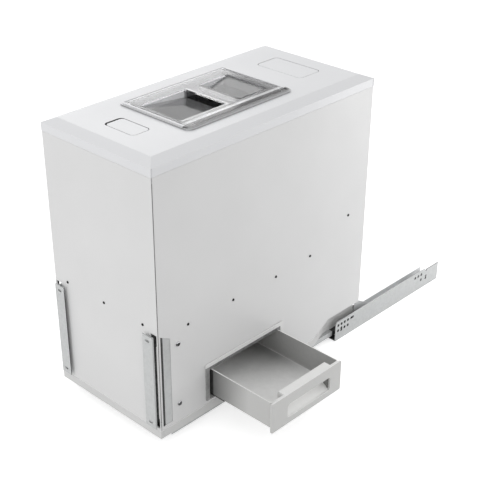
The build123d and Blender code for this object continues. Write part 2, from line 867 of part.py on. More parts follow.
def make_drawer_front():
    """Drawer front with its handle slot."""
    x = (tray_front, front_face)
    front = slot_block(x, front_span, (front_bottom, drawer_top), front_radius)
    front = fillet(front.edges().group_by(Axis.X)[-1], front_edge_fillet)
    y, z = slot_spans()
    return front - slot_block(grown(x, cut_overrun), y, z, slot_radius)


def make_grip():
    """Scooped cup behind the handle slot."""
    y, z = grip_spans()
    x = (tray_front - grip_depth, tray_front)
    grip = block(x, y, z)
    rear_top = grip.edges().filter_by(Axis.Y).group_by(Axis.X)[0].sort_by(Axis.Z)[-1]
    grip = fillet(rear_top, grip_fillet)
    slot_y_span, slot_z = slot_spans()
    cave = slot_block((x[0] + grip_wall, tray_front + cut_overrun), slot_y_span, slot_z, slot_radius)
    ramp = [(x[0], slot_z[0] - cut_overrun), (x[0], slot_z[0] + grip_scoop),
            (tray_front, slot_z[0]), (tray_front, slot_z[0] - cut_overrun)]
    return grip - (cave - along_y(ramp, grown(slot_y_span, cut_overrun)))


def runner_places():
    """Y spans of the two runners under the tray."""
    low = tray_span[0] + runner_inset
    high = tray_span[1] - runner_inset
    return [(low, low + runner_width), (high - runner_width, high)]


def make_runners():
    """Slide strips under the rear of the tray."""
    x = (tray_back, tray_back + runner_length)
    z = (tray_bottom - runner_drop, tray_bottom)
    return Part() + [block(x, y, z) for y in runner_places()]


def make_guides():
    """Two folded channels on the base that carry the tray's runners."""
    deck = tray_bottom - runner_drop - guide_clearance
    x = (tray_back - drawer_pull, half_width - bezel_sleeve - guide_end_gap)
    long = grown(x, cut_overrun)
    guides = []
    for y in runner_places():
        inside = grown(y, guide_clearance)
        outside = grown(inside, guide_wall)
        guide = block(x, outside, (base_sheet, deck + guide_ear))
        guide += block(x, grown(outside, guide_foot), (base_sheet, base_sheet + guide_wall))
        guide -= block(long, inside, (deck, deck + guide_ear + cut_overrun))
        guide -= block(long, inside, (base_sheet - cut_overrun, deck - guide_wall))
        guides.append(guide)
    return Part() + guides


def rail_holes():
    """Hole and slot cutters of the right cabinet rail."""
    x = grown((rail_face - rail_sheet, rail_face), cut_overrun)
    first = rail_front + rail_hole_start
    cuts = []
    for number in range(upper_row_holes):
        cuts.append(rod_x(x, first + number * rail_hole_pitch, rail_upper_row, rail_hole_radius))
    slot_station = first + (upper_row_holes - 1) * rail_hole_pitch + rail_slot_step
    cuts.append(slot_x(x, slot_station, rail_upper_row, rail_slot_length, rail_hole_radius))
    for number in range(lower_row_holes):
        station = first + number * rail_hole_pitch
        if number == 1:
            cuts.append(slot_x(x, station, rail_lower_row, rail_slot_length, rail_hole_radius, True))
        else:
            cuts.append(rod_x(x, station, rail_lower_row, rail_hole_radius))
    rear = rail_front + rail_rear_start
    for number in range(rear_row_holes):
        cuts.append(rod_x(x, rear + number * rail_rear_pitch, rail_upper_row, rail_hole_radius))
    last = rear + (rear_row_holes - 1) * rail_rear_pitch
    cuts.append(rod_x(x, last, rail_lower_row, rail_hole_radius))
    notch = rail_front + rail_notch_station
    cuts.append(slot_x(x, notch, rail_lower_row, rail_slot_length, rail_hole_radius, True))
    cuts.append(block(x, (notch - rail_notch_width / 2, notch + rail_notch_width / 2),
                      (rail_top - rail_notch_depth, rail_top + cut_overrun)))
    return cuts


def make_cabinet_rail():
    """Right cabinet rail: a drilled side plate over a trough for the rollers."""
    path = [(rail_face, rail_top), (rail_face, -rail_drop), (rail_face - rail_trough, -rail_drop),
            (rail_face - rail_trough, rail_upstand - rail_drop)]
    rail = along_y(folded(path, -rail_sheet), (rail_front, rail_rear))
    lip_y = rail_front + rail_lip_start
    rail += block((rail_face - rail_sheet - rail_lip_width, rail_face), (lip_y, lip_y + rail_lip_length),
                  (rail_top - rail_sheet, rail_top))
    through = grown((rail_face - rail_trough, rail_face), cut_overrun)
    tail = rail_rear - rail_tail
    tail_cut = [(tail - rail_tail_slope, rail_top + cut_overrun), (tail - rail_tail_slope, rail_top),
                (tail, rail_tail_top), (rail_rear + cut_overrun, rail_tail_top),
                (rail_rear + cut_overrun, rail_top + cut_overrun)]
    rail -= along_x(tail_cut, through)
    nose = [(rail_front, rail_top - rail_nose), (rail_front + rail_nose, rail_top),
            (rail_front - cut_overrun, rail_top)]
    rail -= along_x(nose, through)
    return rail - rail_holes()


def middle_spans():
    """X, Y and Z spans of the right middle rail as the bin stands pulled out."""
    outer = half_width - middle_outer_inset
    front = rail_front + middle_nose_gap - pull_out / 2
    mid_z = (rail_floor - bin_rail_sheet) / 2
    z = (mid_z - middle_height / 2, mid_z + middle_height / 2)
    return (outer - middle_width, outer), (front, front + middle_length), z


def roller_places():
    """Y and Z of every roller of one slide."""
    front = middle_spans()[1][0]
    lower = rail_floor + roller_clearance + roller_radius
    upper = -bin_rail_sheet - roller_clearance - roller_radius
    low_ones = [(front + share * middle_length, lower) for share in lower_roller_shares]
    return low_ones + [(front + share * middle_length, upper) for share in upper_roller_shares]


def make_middle_rail():
    """Right middle rail: a square tube drilled for the roller axles."""
    x, y, z = middle_spans()
    tube = block(x, y, z) - block(grown(x, -middle_wall), grown(y, cut_overrun), grown(z, -middle_wall))
    for station, height in roller_places():
        tube -= rod_x((x[1] - middle_wall - cut_overrun, x[1] + cut_overrun), station, height, roller_axle)
    return tube


def make_rollers():
    """The rollers of both slides, each with its stub axle."""
    edge = middle_spans()[0][1]
    rollers = []
    for station, height in roller_places():
        wheel = rod_x((edge + roller_side_gap, edge + roller_side_gap + roller_width), station, height,
                      roller_radius)
        stub = rod_x((edge - middle_wall - roller_axle_grip, edge + roller_side_gap), station, height,
                     roller_axle)
        rollers.append(wheel + stub)
    return Part() + rollers + [other_side(roller) for roller in rollers]


def make_bin_rail():
    """Right bin rail: a channel under the base with a hook behind the bin."""
    outer = half_width - bin_rail_outer_inset
    inner = outer - bin_rail_width
    y = (bin_rail_front_inset - half_depth, half_depth + bin_rail_tail)
    path = [(inner, -bin_rail_depth), (inner, 0), (outer, 0), (outer, -bin_rail_depth)]
    rail = along_y(folded(path, -bin_rail_sheet), y)
    start = half_depth + base_proud + hook_start
    hook = [(start, -bin_rail_sheet), (start, hook_height), (start + hook_flat, hook_height),
            (y[1], hook_end_height), (y[1], -bin_rail_sheet)]
    x = (outer - hook_inset - bin_rail_sheet, outer - hook_inset)
    return rail + along_x(hook, x)


def make_pieces():
    """Every piece of the bin by its node name."""
    bracket = make_bracket()
    cabinet_rail = make_cabinet_rail()
    middle_rail = make_middle_rail()
    bin_rail = make_bin_rail()
    return {
        "base_tray": make_base(),
        "side_panel_right": make_side_panel(1),
        "side_panel_left": make_side_panel(-1),
        "front_panel": make_front_panel(),
        "back_panel": make_back_panel(),
        "top_cover": make_cover(),
        "front_cap": make_cap(*front_cap_spans()),
        "rear_cap": make_cap(*rear_cap_spans()),
        "inlet_frame": make_frame(),
        "lid_seal": make_seal(),
        "lid": make_lid(),
        "lid_hinge_pins": make_hinge_pins(),
        "hopper": make_hopper(),
        "outlet_spout": make_spout(),
        "panel_rivets": make_rivets(),
        "bracket_screws": make_screws(),
        "door_bracket_right": bracket,
        "door_bracket_left": other_side(bracket),
        "drawer_bezel": make_bezel(),
        "drawer_gasket": make_gasket(),
        "drawer_tray": make_tray(),
        "drawer_front": make_drawer_front(),
        "drawer_grip": make_grip(),
        "drawer_runners": make_runners(),
        "drawer_guides": make_guides(),
        "cabinet_rail_right": cabinet_rail,
        "cabinet_rail_left": other_side(cabinet_rail),
        "middle_rail_right": middle_rail,
        "middle_rail_left": other_side(middle_rail),
        "slide_rollers": make_rollers(),
        "bin_rail_right": bin_rail,
        "bin_rail_left": other_side(bin_rail),
    }


door_face = half_depth + bracket_standoff + bracket_sheet
door_centre = (bracket_bottom + bracket_top) / 2
place = Pos(0, door_face, -door_centre)
os.makedirs("parts", exist_ok=True)
for node, piece in make_pieces().items():
    export_step(place * piece, f"parts/{node}.step")
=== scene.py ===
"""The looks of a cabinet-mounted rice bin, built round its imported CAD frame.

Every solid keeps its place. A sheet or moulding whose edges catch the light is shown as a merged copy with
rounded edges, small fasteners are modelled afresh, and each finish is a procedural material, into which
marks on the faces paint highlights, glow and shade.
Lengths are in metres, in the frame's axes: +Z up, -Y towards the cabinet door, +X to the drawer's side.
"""

from __future__ import annotations

import json
import logging
import math
from collections.abc import Callable, Sequence
from dataclasses import dataclass, field
from enum import Enum
from functools import cached_property

import bmesh
import bpy
from mathutils import Matrix, Vector

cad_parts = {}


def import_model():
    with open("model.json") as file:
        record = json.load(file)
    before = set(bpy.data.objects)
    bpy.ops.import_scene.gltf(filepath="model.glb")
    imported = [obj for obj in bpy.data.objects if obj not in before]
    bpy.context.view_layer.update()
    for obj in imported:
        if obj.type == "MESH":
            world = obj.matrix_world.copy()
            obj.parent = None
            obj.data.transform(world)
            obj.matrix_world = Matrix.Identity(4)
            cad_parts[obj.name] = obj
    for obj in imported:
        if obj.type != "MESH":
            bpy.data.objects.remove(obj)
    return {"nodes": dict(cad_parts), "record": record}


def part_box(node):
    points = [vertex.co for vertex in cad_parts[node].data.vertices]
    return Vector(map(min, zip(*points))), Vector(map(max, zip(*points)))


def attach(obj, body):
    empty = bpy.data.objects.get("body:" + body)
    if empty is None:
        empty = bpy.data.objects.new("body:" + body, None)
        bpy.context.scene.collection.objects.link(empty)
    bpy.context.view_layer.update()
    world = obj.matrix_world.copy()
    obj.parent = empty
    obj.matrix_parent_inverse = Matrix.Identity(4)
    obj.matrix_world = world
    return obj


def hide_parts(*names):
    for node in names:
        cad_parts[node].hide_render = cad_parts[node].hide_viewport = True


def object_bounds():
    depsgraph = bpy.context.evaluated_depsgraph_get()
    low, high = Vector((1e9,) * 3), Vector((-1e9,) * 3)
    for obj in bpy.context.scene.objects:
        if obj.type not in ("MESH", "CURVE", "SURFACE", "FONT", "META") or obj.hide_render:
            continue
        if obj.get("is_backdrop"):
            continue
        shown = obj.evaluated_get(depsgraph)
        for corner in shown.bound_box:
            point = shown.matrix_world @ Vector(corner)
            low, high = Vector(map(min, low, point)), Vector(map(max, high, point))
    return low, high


MM = 0.001
# Face marks: RIM gets painted highlight, SHADE gets painted shade, FADE gets painted shade from an opening.
RIM = "rim"
SHADE = "shade"
FADE = "fade"
SQUARE = 0.9
SLANTED = 0.7
LEANING = 0.5
BLACK = (0.0, 0.0, 0.0, 1.0)
WHITE = (1.0, 1.0, 1.0, 1.0)
Colour = tuple[float, float, float]
log = logging.getLogger("rice_bin")


class Slot(Enum):
    """The record's material slots."""

    WHITE_SHEET = "white_sheet"
    BASE_GREY = "base_grey"
    WHITE_COVER = "white_cover"
    CLEAR_PLASTIC = "clear_plastic"
    SEAL_RUBBER = "seal_rubber"
    GALVANISED = "galvanised"
    DRAWER_GREY = "drawer_grey"
    GRIP_WHITE = "grip_white"
    DARK_PLASTIC = "dark_plastic"
    ROLLER_NYLON = "roller_nylon"
    RIVET_METAL = "rivet_metal"
    SCREW_METAL = "screw_metal"


class Socket(Enum):
    """The kinds of socket that a shader group may have."""

    NUMBER = "NodeSocketFloat"
    COLOUR = "NodeSocketColor"


@dataclass(frozen=True)
class Spot:
    """A face of a piece, as the tests that mark faces see it.

    Attributes:
        at: the face's middle.
        normal: the way it looks.
        low: the lowest corner of the piece's box.
        high: the box's highest corner.
    """

    at: Vector
    normal: Vector
    low: Vector
    high: Vector


FaceTest = Callable[[Spot], float]


def level(spot: Spot) -> float:
    """One for a level face; as a light mark, it gets painted highlight as if lit from above."""
    return float(spot.normal.z > SQUARE)


def on_axis(axis: int, *places: float) -> list[Vector]:
    """The points at some places along an axis, which is 0 for X, 1 for Y and 2 for Z."""
    return [Vector([place if index == axis else 0.0 for index in range(3)]) for place in places]


def opaque(colour: Colour) -> tuple[float, float, float, float]:
    """A colour with its alpha."""
    return (*colour, 1.0)


class Wiring:
    """A node tree that is filled from left to right."""

    column_width = 220.0

    def __init__(self, tree: bpy.types.NodeTree) -> None:
        """Takes over an empty node tree.

        Args:
            tree: the tree of a material, a world or a shader group.
        """
        self.tree = tree
        self.columns = 0

    def add(self, kind: str, inputs: dict | None = None, **settings: object) -> bpy.types.Node:
        """Adds a node, sets it up and links what it reads.

        Args:
            kind: the node's Blender type.
            inputs: a value, or an output socket to link, for each input socket by name or number.
            settings: the node's own properties.

        Returns:
            The new node.
        """
        node = self.tree.nodes.new(kind)
        node.location.x = self.columns * self.column_width
        self.columns += 1
        for name, value in settings.items():
            setattr(node, name, value)
        self.feed(node, inputs or {})
        return node

    def feed(self, node: bpy.types.Node, inputs: dict) -> None:
        """Links outputs to a node's inputs, or sets the inputs' values.

        Args:
            node: the node.
            inputs: a value, or an output socket to link, for each input socket by name or number.
        """
        for name, value in inputs.items():
            if isinstance(value, bpy.types.NodeSocket):
                self.tree.links.new(value, node.inputs[name])
            else:
                node.inputs[name].default_value = value

    def object_place(self) -> bpy.types.NodeSocket:
        """The surface point in the piece's own coordinates."""
        return self.add("ShaderNodeTexCoord").outputs["Object"]

    def attribute(self, name: str) -> bpy.types.NodeSocket:
        """A mark on the mesh's faces, from 0 to 1."""
        return self.add("ShaderNodeAttribute", attribute_name=name).outputs["Fac"]

    def noise(self, place: bpy.types.NodeSocket, scale: object, detail: float = 2.0) -> bpy.types.NodeSocket:
        """A soft random value, from 0 to 1.

        Args:
            place: where the pattern is read.
            scale: patches in a metre, as a number or a socket.
            detail: octaves of finer pattern.

        Returns:
            The value's socket.
        """
        inputs = {"Vector": place, "Scale": scale, "Detail": detail}
        return self.add("ShaderNodeTexNoise", inputs).outputs["Fac"]

    def spread(self, value: bpy.types.NodeSocket, low: object, high: object,
               start: object = 0.3, end: object = 0.7) -> bpy.types.NodeSocket:
        """Maps a value onto a range.

        Args:
            value: the value to map.
            low: what it becomes at start.
            high: what it becomes at end.
            start: the value that gives low.
            end: the value that gives high.

        Returns:
            The mapped value's socket.
        """
        inputs = {"Value": value, "From Min": start, "From Max": end, "To Min": low, "To Max": high}
        return self.add("ShaderNodeMapRange", inputs).outputs["Result"]

    def mix(self, share: object, first: object, second: object, blend: str = "MIX") -> bpy.types.NodeSocket:
        """Mixes two colours.

        Args:
            share: how much of the second colour shows.
            first: the first colour.
            second: the second colour.
            blend: Blender's name for the way of mixing.

        Returns:
            The mixed colour's socket.
        """
        node = self.add("ShaderNodeMix", {0: share, 6: first, 7: second}, data_type="RGBA", blend_type=blend)
        return node.outputs[2]

    def math(self, operation: str, first: object, second: object) -> bpy.types.NodeSocket:
        """Two values put together by one of Blender's operations."""
        return self.add("ShaderNodeMath", {0: first, 1: second}, operation=operation).outputs[0]

    def times(self, first: object, second: object) -> bpy.types.NodeSocket:
        """The product of two values."""
        return self.math("MULTIPLY", first, second)

    def larger(self, first: object, second: object) -> bpy.types.NodeSocket:
        """The larger of two values."""
        return self.math("MAXIMUM", first, second)


class Effect:
    """A shader group that several finishes share, built the first time that one asks for it."""

    name = "effect"
    inputs: dict[str, Socket] = {}
    outputs: dict[str, Socket] = {}

    @classmethod
    def tree(cls) -> bpy.types.NodeTree:
        """The group's node tree.

        Returns:
            The tree that an earlier finish made, or a new one.
        """
        found = bpy.data.node_groups.get(cls.name)
        if found:
            return found
        made = bpy.data.node_groups.new(cls.name, "ShaderNodeTree")
        for name, kind in cls.inputs.items():
            made.interface.new_socket(name, in_out="INPUT", socket_type=kind.value)
        for name, kind in cls.outputs.items():
            made.interface.new_socket(name, in_out="OUTPUT", socket_type=kind.value)
        wiring = Wiring(made)
        given = wiring.add("NodeGroupInput").outputs
        wiring.add("NodeGroupOutput", cls.wire(wiring, given))
        return made

    @classmethod
    def wire(cls, wiring: Wiring, given: bpy.types.NodeOutputs) -> dict[str, bpy.types.NodeSocket]:
        """Fills the group.

        Args:
            wiring: the group's tree.
            given: the group's inputs.

        Returns:
            The socket that feeds each output.
        """
        raise NotImplementedError

    @classmethod
    def place(cls, wiring: Wiring, **inputs: object) -> bpy.types.NodeOutputs:
        """Puts the group into a material.

        Args:
            wiring: the material's tree.
            inputs: the group's values, with underscores for the spaces in their names.

        Returns:
            The group's outputs.
        """
        named = {name.replace("_", " "): value for name, value in inputs.items()}
        return wiring.add("ShaderNodeGroup", named, node_tree=cls.tree()).outputs


class CoatTexture(Effect):
    """The faint orange peel and uneven tone of a sprayed or moulded skin."""

    name = "coat texture"
    inputs = {"Colour": Socket.COLOUR, "Tone": Socket.NUMBER, "Patches": Socket.NUMBER, "Peel": Socket.NUMBER,
              "Gloss": Socket.NUMBER}
    outputs = {"Colour": Socket.COLOUR, "Roughness": Socket.NUMBER, "Height": Socket.NUMBER}
    patch_detail = 3.0
    peel_detail = 1.0
    gloss_range = (0.9, 1.1)

    @classmethod
    def wire(cls, wiring: Wiring, given: bpy.types.NodeOutputs) -> dict[str, bpy.types.NodeSocket]:
        """Fills the group.

        Args:
            wiring: the group's tree.
            given: the group's inputs.

        Returns:
            The socket that feeds each output.
        """
        place = wiring.object_place()
        patches = wiring.noise(place, given["Patches"], cls.patch_detail)
        peel = wiring.noise(place, given["Peel"], cls.peel_detail)
        darker = wiring.mix(1.0, given["Colour"], given["Colour"], "MULTIPLY")
        share = wiring.times(wiring.spread(patches, 0.0, 1.0), given["Tone"])
        gloss = wiring.times(wiring.spread(patches, *cls.gloss_range), given["Gloss"])
        return {"Colour": wiring.mix(share, given["Colour"], darker), "Roughness": gloss, "Height": peel}


class PaintedRimLight(Effect):
    """Painted highlight along rounded edges and on the other faces that the mesh marks with its rim
    attribute.
    """

    name = "painted rim light"
    inputs = {"Colour": Socket.COLOUR, "Rim Colour": Socket.COLOUR, "Amount": Socket.NUMBER}
    outputs = {"Colour": Socket.COLOUR, "Mask": Socket.NUMBER}
    break_up = 90.0
    least = 0.85

    @classmethod
    def wire(cls, wiring: Wiring, given: bpy.types.NodeOutputs) -> dict[str, bpy.types.NodeSocket]:
        """Fills the group.

        Args:
            wiring: the group's tree.
            given: the group's inputs.

        Returns:
            The socket that feeds each output.
        """
        patches = wiring.noise(wiring.object_place(), cls.break_up)
        rim = wiring.times(wiring.attribute(RIM), wiring.spread(patches, cls.least, 1.0))
        rim_light = wiring.times(rim, given["Amount"])
        return {"Colour": wiring.mix(rim_light, given["Colour"], given["Rim Colour"]), "Mask": rim_light}


class PaintedShade(Effect):
    """Painted shade on the faces that the mesh marks with its shade attribute: gaps, hollows, tracks and
    sides that light doesn't reach, darkened in the colour.
    """

    name = "painted shade"
    inputs = {"Colour": Socket.COLOUR, "Dark Colour": Socket.COLOUR}
    outputs = {"Colour": Socket.COLOUR}
    # Noise that breaks up the painted shade a little.
    shade_breakup = 160.0
    least = 0.85

    @classmethod
    def wire(cls, wiring: Wiring, given: bpy.types.NodeOutputs) -> dict[str, bpy.types.NodeSocket]:
        """Fills the group.

        Args:
            wiring: the group's tree.
            given: the group's inputs.

        Returns:
            The socket that feeds each output.
        """
        shade_breakup = wiring.noise(wiring.object_place(), cls.shade_breakup)
        share = wiring.times(wiring.attribute(SHADE), wiring.spread(shade_breakup, cls.least, 1.0))
        return {"Colour": wiring.mix(share, given["Colour"], given["Dark Colour"])}


class MouthShadow(Effect):
    """Painted shade on a sliding piece, deepest near the opening that it comes out of, on the faces that the
    mesh marks.
    """

    name = "mouth shadow"
    inputs = {"Colour": Socket.COLOUR, "Dark Colour": Socket.COLOUR, "Start": Socket.NUMBER,
              "End": Socket.NUMBER, "Lee Start": Socket.NUMBER, "Lee End": Socket.NUMBER,
              "Outer": Socket.NUMBER, "Amount": Socket.NUMBER}
    outputs = {"Colour": Socket.COLOUR}

    @classmethod
    def wire(cls, wiring: Wiring, given: bpy.types.NodeOutputs) -> dict[str, bpy.types.NodeSocket]:
        """Fills the group.

        Args:
            wiring: the group's tree.
            given: the group's inputs.

        Returns:
            The socket that feeds each output.
        """
        place = wiring.add("ShaderNodeSeparateXYZ", {"Vector": wiring.object_place()}).outputs
        dusk = wiring.spread(place["X"], given["Amount"], 0.0, given["Start"], given["End"])
        lee = wiring.spread(place["Y"], 0.0, 1.0, given["Lee End"], given["Lee Start"])
        outer = wiring.math("LESS_THAN", place["Y"], given["Outer"])
        share = wiring.times(wiring.times(wiring.attribute(FADE), dusk), wiring.larger(lee, outer))
        return {"Colour": wiring.mix(share, given["Colour"], given["Dark Colour"])}


class ZincSpangle(Effect):
    """The frosty crystals of hot-dip zinc and the faint rolling marks under them."""

    name = "zinc spangle"
    inputs = {"Colour": Socket.COLOUR, "Dark Colour": Socket.COLOUR, "Crystals": Socket.NUMBER,
              "Contrast": Socket.NUMBER}
    outputs = {"Colour": Socket.COLOUR, "Roughness": Socket.NUMBER, "Height": Socket.NUMBER}
    rolling_marks = 60.0
    rolling_detail = 3.0
    rolling_stretch = (6.0, 0.25, 6.0)
    rolling_range = (0.5, 1.3)
    gloss_range = (0.42, 0.56)

    @classmethod
    def wire(cls, wiring: Wiring, given: bpy.types.NodeOutputs) -> dict[str, bpy.types.NodeSocket]:
        """Fills the group.

        Args:
            wiring: the group's tree.
            given: the group's inputs.

        Returns:
            The socket that feeds each output.
        """
        place = wiring.object_place()
        crystals = wiring.add("ShaderNodeTexVoronoi", {"Vector": place, "Scale": given["Crystals"]})
        shade = wiring.add("ShaderNodeSeparateColor", {"Color": crystals.outputs["Color"]}).outputs[0]
        stretched = wiring.add("ShaderNodeMapping", {"Vector": place, "Scale": cls.rolling_stretch})
        marks = wiring.noise(stretched.outputs[0], cls.rolling_marks, cls.rolling_detail)
        share = wiring.times(wiring.times(shade, wiring.spread(marks, *cls.rolling_range)), given["Contrast"])
        return {"Colour": wiring.mix(share, given["Colour"], given["Dark Colour"]),
                "Roughness": wiring.spread(shade, *cls.gloss_range, 0.0, 1.0), "Height": marks}


@dataclass(frozen=True)
class Finish:
    """What every finish has.

    Attributes:
        name: the material's name.
        slot: the record's slot that it stands for.
        colour: the base colour, linear.
        roughness: the gloss, 0 for a mirror.
    """

    name: str
    slot: Slot
    colour: Colour
    roughness: float

    def material(self) -> bpy.types.Material:
        """The finish as a material.

        Returns:
            The material that an earlier piece made, or a new one.
        """
        found = bpy.data.materials.get(self.name)
        if found:
            return found
        made = bpy.data.materials.new(self.name)
        made.use_nodes = True
        made.node_tree.nodes.clear()
        wiring = Wiring(made.node_tree)
        shader = wiring.add("ShaderNodeBsdfPrincipled")
        self.wire(wiring, shader)
        wiring.add("ShaderNodeOutputMaterial", {"Surface": shader.outputs[0]})
        return made

    def wire(self, wiring: Wiring, shader: bpy.types.Node) -> None:
        """Adds the finish's own pattern to its shader.

        Args:
            wiring: the material's tree.
            shader: its Principled shader.
        """
        raise NotImplementedError

    @staticmethod
    def bump(wiring: Wiring, shader: bpy.types.Node, height: bpy.types.NodeSocket, depth: float) -> None:
        """Lets a height pattern tilt the shader's normals.

        Args:
            wiring: the material's tree.
            shader: its Principled shader.
            height: the pattern.
            depth: how high it stands, in metres.
        """
        node = wiring.add("ShaderNodeBump", {"Height": height, "Distance": depth, "Strength": 1.0})
        wiring.feed(shader, {"Normal": node.outputs[0]})


@dataclass(frozen=True)
class CoatedSkin(Finish):
    """A sprayed sheet or a moulded skin, with painted highlights on its rims and painted shade on marked
    faces.

    Attributes:
        rim_colour: the colour of painted highlight along rounded edges and marked faces.
        rim_amount: how much of it shows.
        tone: how uneven the colour is.
        patches: patches of tone in a metre.
        peel: bumps of the skin in a metre.
        peel_depth: how deep they are.
        shade_colour: the colour of painted shade in seams, hollows and other marked faces.
    """

    rim_colour: Colour = (0.92, 0.92, 0.92)
    rim_amount: float = 0.6
    tone: float = 0.12
    patches: float = 7.0
    peel: float = 900.0
    peel_depth: float = 0.02 * MM
    shade_colour: Colour = (0.25, 0.25, 0.25)

    def wire(self, wiring: Wiring, shader: bpy.types.Node) -> None:
        """Adds the skin's pattern, the painted highlights on its rims and the painted shade.

        Args:
            wiring: the material's tree.
            shader: its Principled shader.
        """
        skin = CoatTexture.place(wiring, Colour=opaque(self.colour), Tone=self.tone, Patches=self.patches,
                                 Peel=self.peel, Gloss=self.roughness)
        # Painted highlight on rims and lit faces, then painted shade on the shaded faces.
        rim = PaintedRimLight.place(wiring, Colour=skin["Colour"], Rim_Colour=opaque(self.rim_colour),
                            Amount=self.rim_amount)
        shaded = PaintedShade.place(wiring, Colour=rim["Colour"], Dark_Colour=opaque(self.shade_colour))
        colour = self.shadowed(wiring, shaded["Colour"])
        wiring.feed(shader, {"Base Color": colour, "Roughness": skin["Roughness"]})
        self.bump(wiring, shader, skin["Height"], self.peel_depth)

    def shadowed(self, wiring: Wiring, colour: bpy.types.NodeSocket) -> bpy.types.NodeSocket:
        """The skin's colour with painted shade from an opening laid over it, which is none here."""
        return colour


@dataclass(frozen=True)
class SlidingSkin(CoatedSkin):
    """A skin with painted shade, deepest near the opening it slides out of.

    Attributes:
        dusk_start: where the painted shade is deepest, along X.
        dusk_end: where it ends.
        lee_start: where it is deepest, along Y.
        lee_end: where it ends.
        outer: nearer to the front than this, it is as deep as it is at its start along Y.
        dusk: how deep it is.
    """

    dusk_start: float = 0.0
    dusk_end: float = 1.0
    lee_start: float = 1.0
    lee_end: float = 0.0
    outer: float = 0.0
    dusk: float = 0.0

    def shadowed(self, wiring: Wiring, colour: bpy.types.NodeSocket) -> bpy.types.NodeSocket:
        """The skin's colour with the painted shade over it.

        Args:
            wiring: the material's tree.
            colour: the skin's colour.

        Returns:
            The colour that shows.
        """
        return MouthShadow.place(wiring, Colour=colour, Dark_Colour=opaque(self.shade_colour),
                                 Start=self.dusk_start, End=self.dusk_end, Lee_Start=self.lee_start,
                                 Lee_End=self.lee_end, Outer=self.outer, Amount=self.dusk)["Colour"]


@dataclass(frozen=True)
class ZincSheet(Finish):
    """Galvanised sheet steel.

    Attributes:
        dark_colour: the colour of the darkest crystals.
        crystals: crystals in a metre.
        contrast: how far crystals differ.
        metallic: the share of the surface that reflects as bare metal.
        rim_colour: the colour of painted highlight on cut edges and marked faces.
        rim_amount: how much of it shows.
        zinc_shade_colour: the colour of painted shade in the rails' tracks and holes and behind the door
            brackets' legs.
        mark_depth: how deep the rolling marks are.
    """

    dark_colour: Colour = (0.42, 0.43, 0.435)
    crystals: float = 260.0
    contrast: float = 0.25
    metallic: float = 0.35
    rim_colour: Colour = (0.88, 0.89, 0.90)
    rim_amount: float = 0.9
    zinc_shade_colour: Colour = (0.02, 0.02, 0.02)
    mark_depth: float = 0.03 * MM

    def wire(self, wiring: Wiring, shader: bpy.types.Node) -> None:
        """Adds crystals, rolling marks, painted highlights on cut edges and marked faces, and painted shade.

        Args:
            wiring: the material's tree.
            shader: its Principled shader.
        """
        zinc = ZincSpangle.place(wiring, Colour=opaque(self.colour), Dark_Colour=opaque(self.dark_colour),
                                 Crystals=self.crystals, Contrast=self.contrast)
        rim = PaintedRimLight.place(wiring, Colour=zinc["Colour"], Rim_Colour=opaque(self.rim_colour),
                            Amount=self.rim_amount)
        zinc_shaded = PaintedShade.place(wiring, Colour=rim["Colour"], Dark_Colour=opaque(self.zinc_shade_colour))
        # Rims and lit faces are less metallic, which adds to their painted highlight.
        bare = wiring.spread(rim["Mask"], self.metallic, 0.0, 0.0, 1.0)
        wiring.feed(shader, {"Base Color": zinc_shaded["Colour"], "Roughness": zinc["Roughness"], "Metallic": bare})
        self.bump(wiring, shader, zinc["Height"], self.mark_depth)


@dataclass(frozen=True)
class ClearMoulding(Finish):
    """Clear moulded plastic with a faint grey body, painted shade on marked faces and a painted glow on its
    rims.

    Attributes:
        transmission: the share of light that passes.
        painted_rim_glow: how brightly the rims and lit strips glow, as painted light.
        ior: how strongly it bends light.
        lid_shade_colour: the colour of painted shade on marked faces.
        rim_colour: the colour of painted highlight along rounded edges and lit strips.
        rim_amount: how much of it shows.
        tone: how uneven the colour is.
        patches: patches of tone in a metre.
        ripple: moulding waves in a metre.
        ripple_depth: how deep they are.
    """

    transmission: float = 0.95
    painted_rim_glow: float = 0.45
    ior: float = 1.3
    lid_shade_colour: Colour = (0.06, 0.06, 0.06)
    rim_colour: Colour = (0.95, 0.95, 0.96)
    rim_amount: float = 0.8
    tone: float = 0.15
    patches: float = 25.0
    ripple: float = 60.0
    ripple_depth: float = 0.05 * MM

    def wire(self, wiring: Wiring, shader: bpy.types.Node) -> None:
        """Adds the moulding's waves, painted highlights and glow on its rims, and painted shade.

        Args:
            wiring: the material's tree.
            shader: its Principled shader.
        """
        skin = CoatTexture.place(wiring, Colour=opaque(self.colour), Tone=self.tone, Patches=self.patches,
                                 Peel=self.ripple, Gloss=self.roughness)
        rim = PaintedRimLight.place(wiring, Colour=skin["Colour"], Rim_Colour=opaque(self.rim_colour),
                            Amount=self.rim_amount)
        with_shade = PaintedShade.place(wiring, Colour=rim["Colour"], Dark_Colour=opaque(self.lid_shade_colour))
        # Painted glow: marked rims and strips emit light, darkened where painted shade lies over them.
        glow = wiring.mix(rim["Mask"], BLACK, with_shade["Colour"])
        wiring.feed(shader, {"Base Color": with_shade["Colour"], "Roughness": skin["Roughness"],
                             "Emission Color": glow, "Emission Strength": self.painted_rim_glow,
                             "Transmission Weight": self.transmission, "IOR": self.ior})
        self.bump(wiring, shader, skin["Height"], self.ripple_depth)


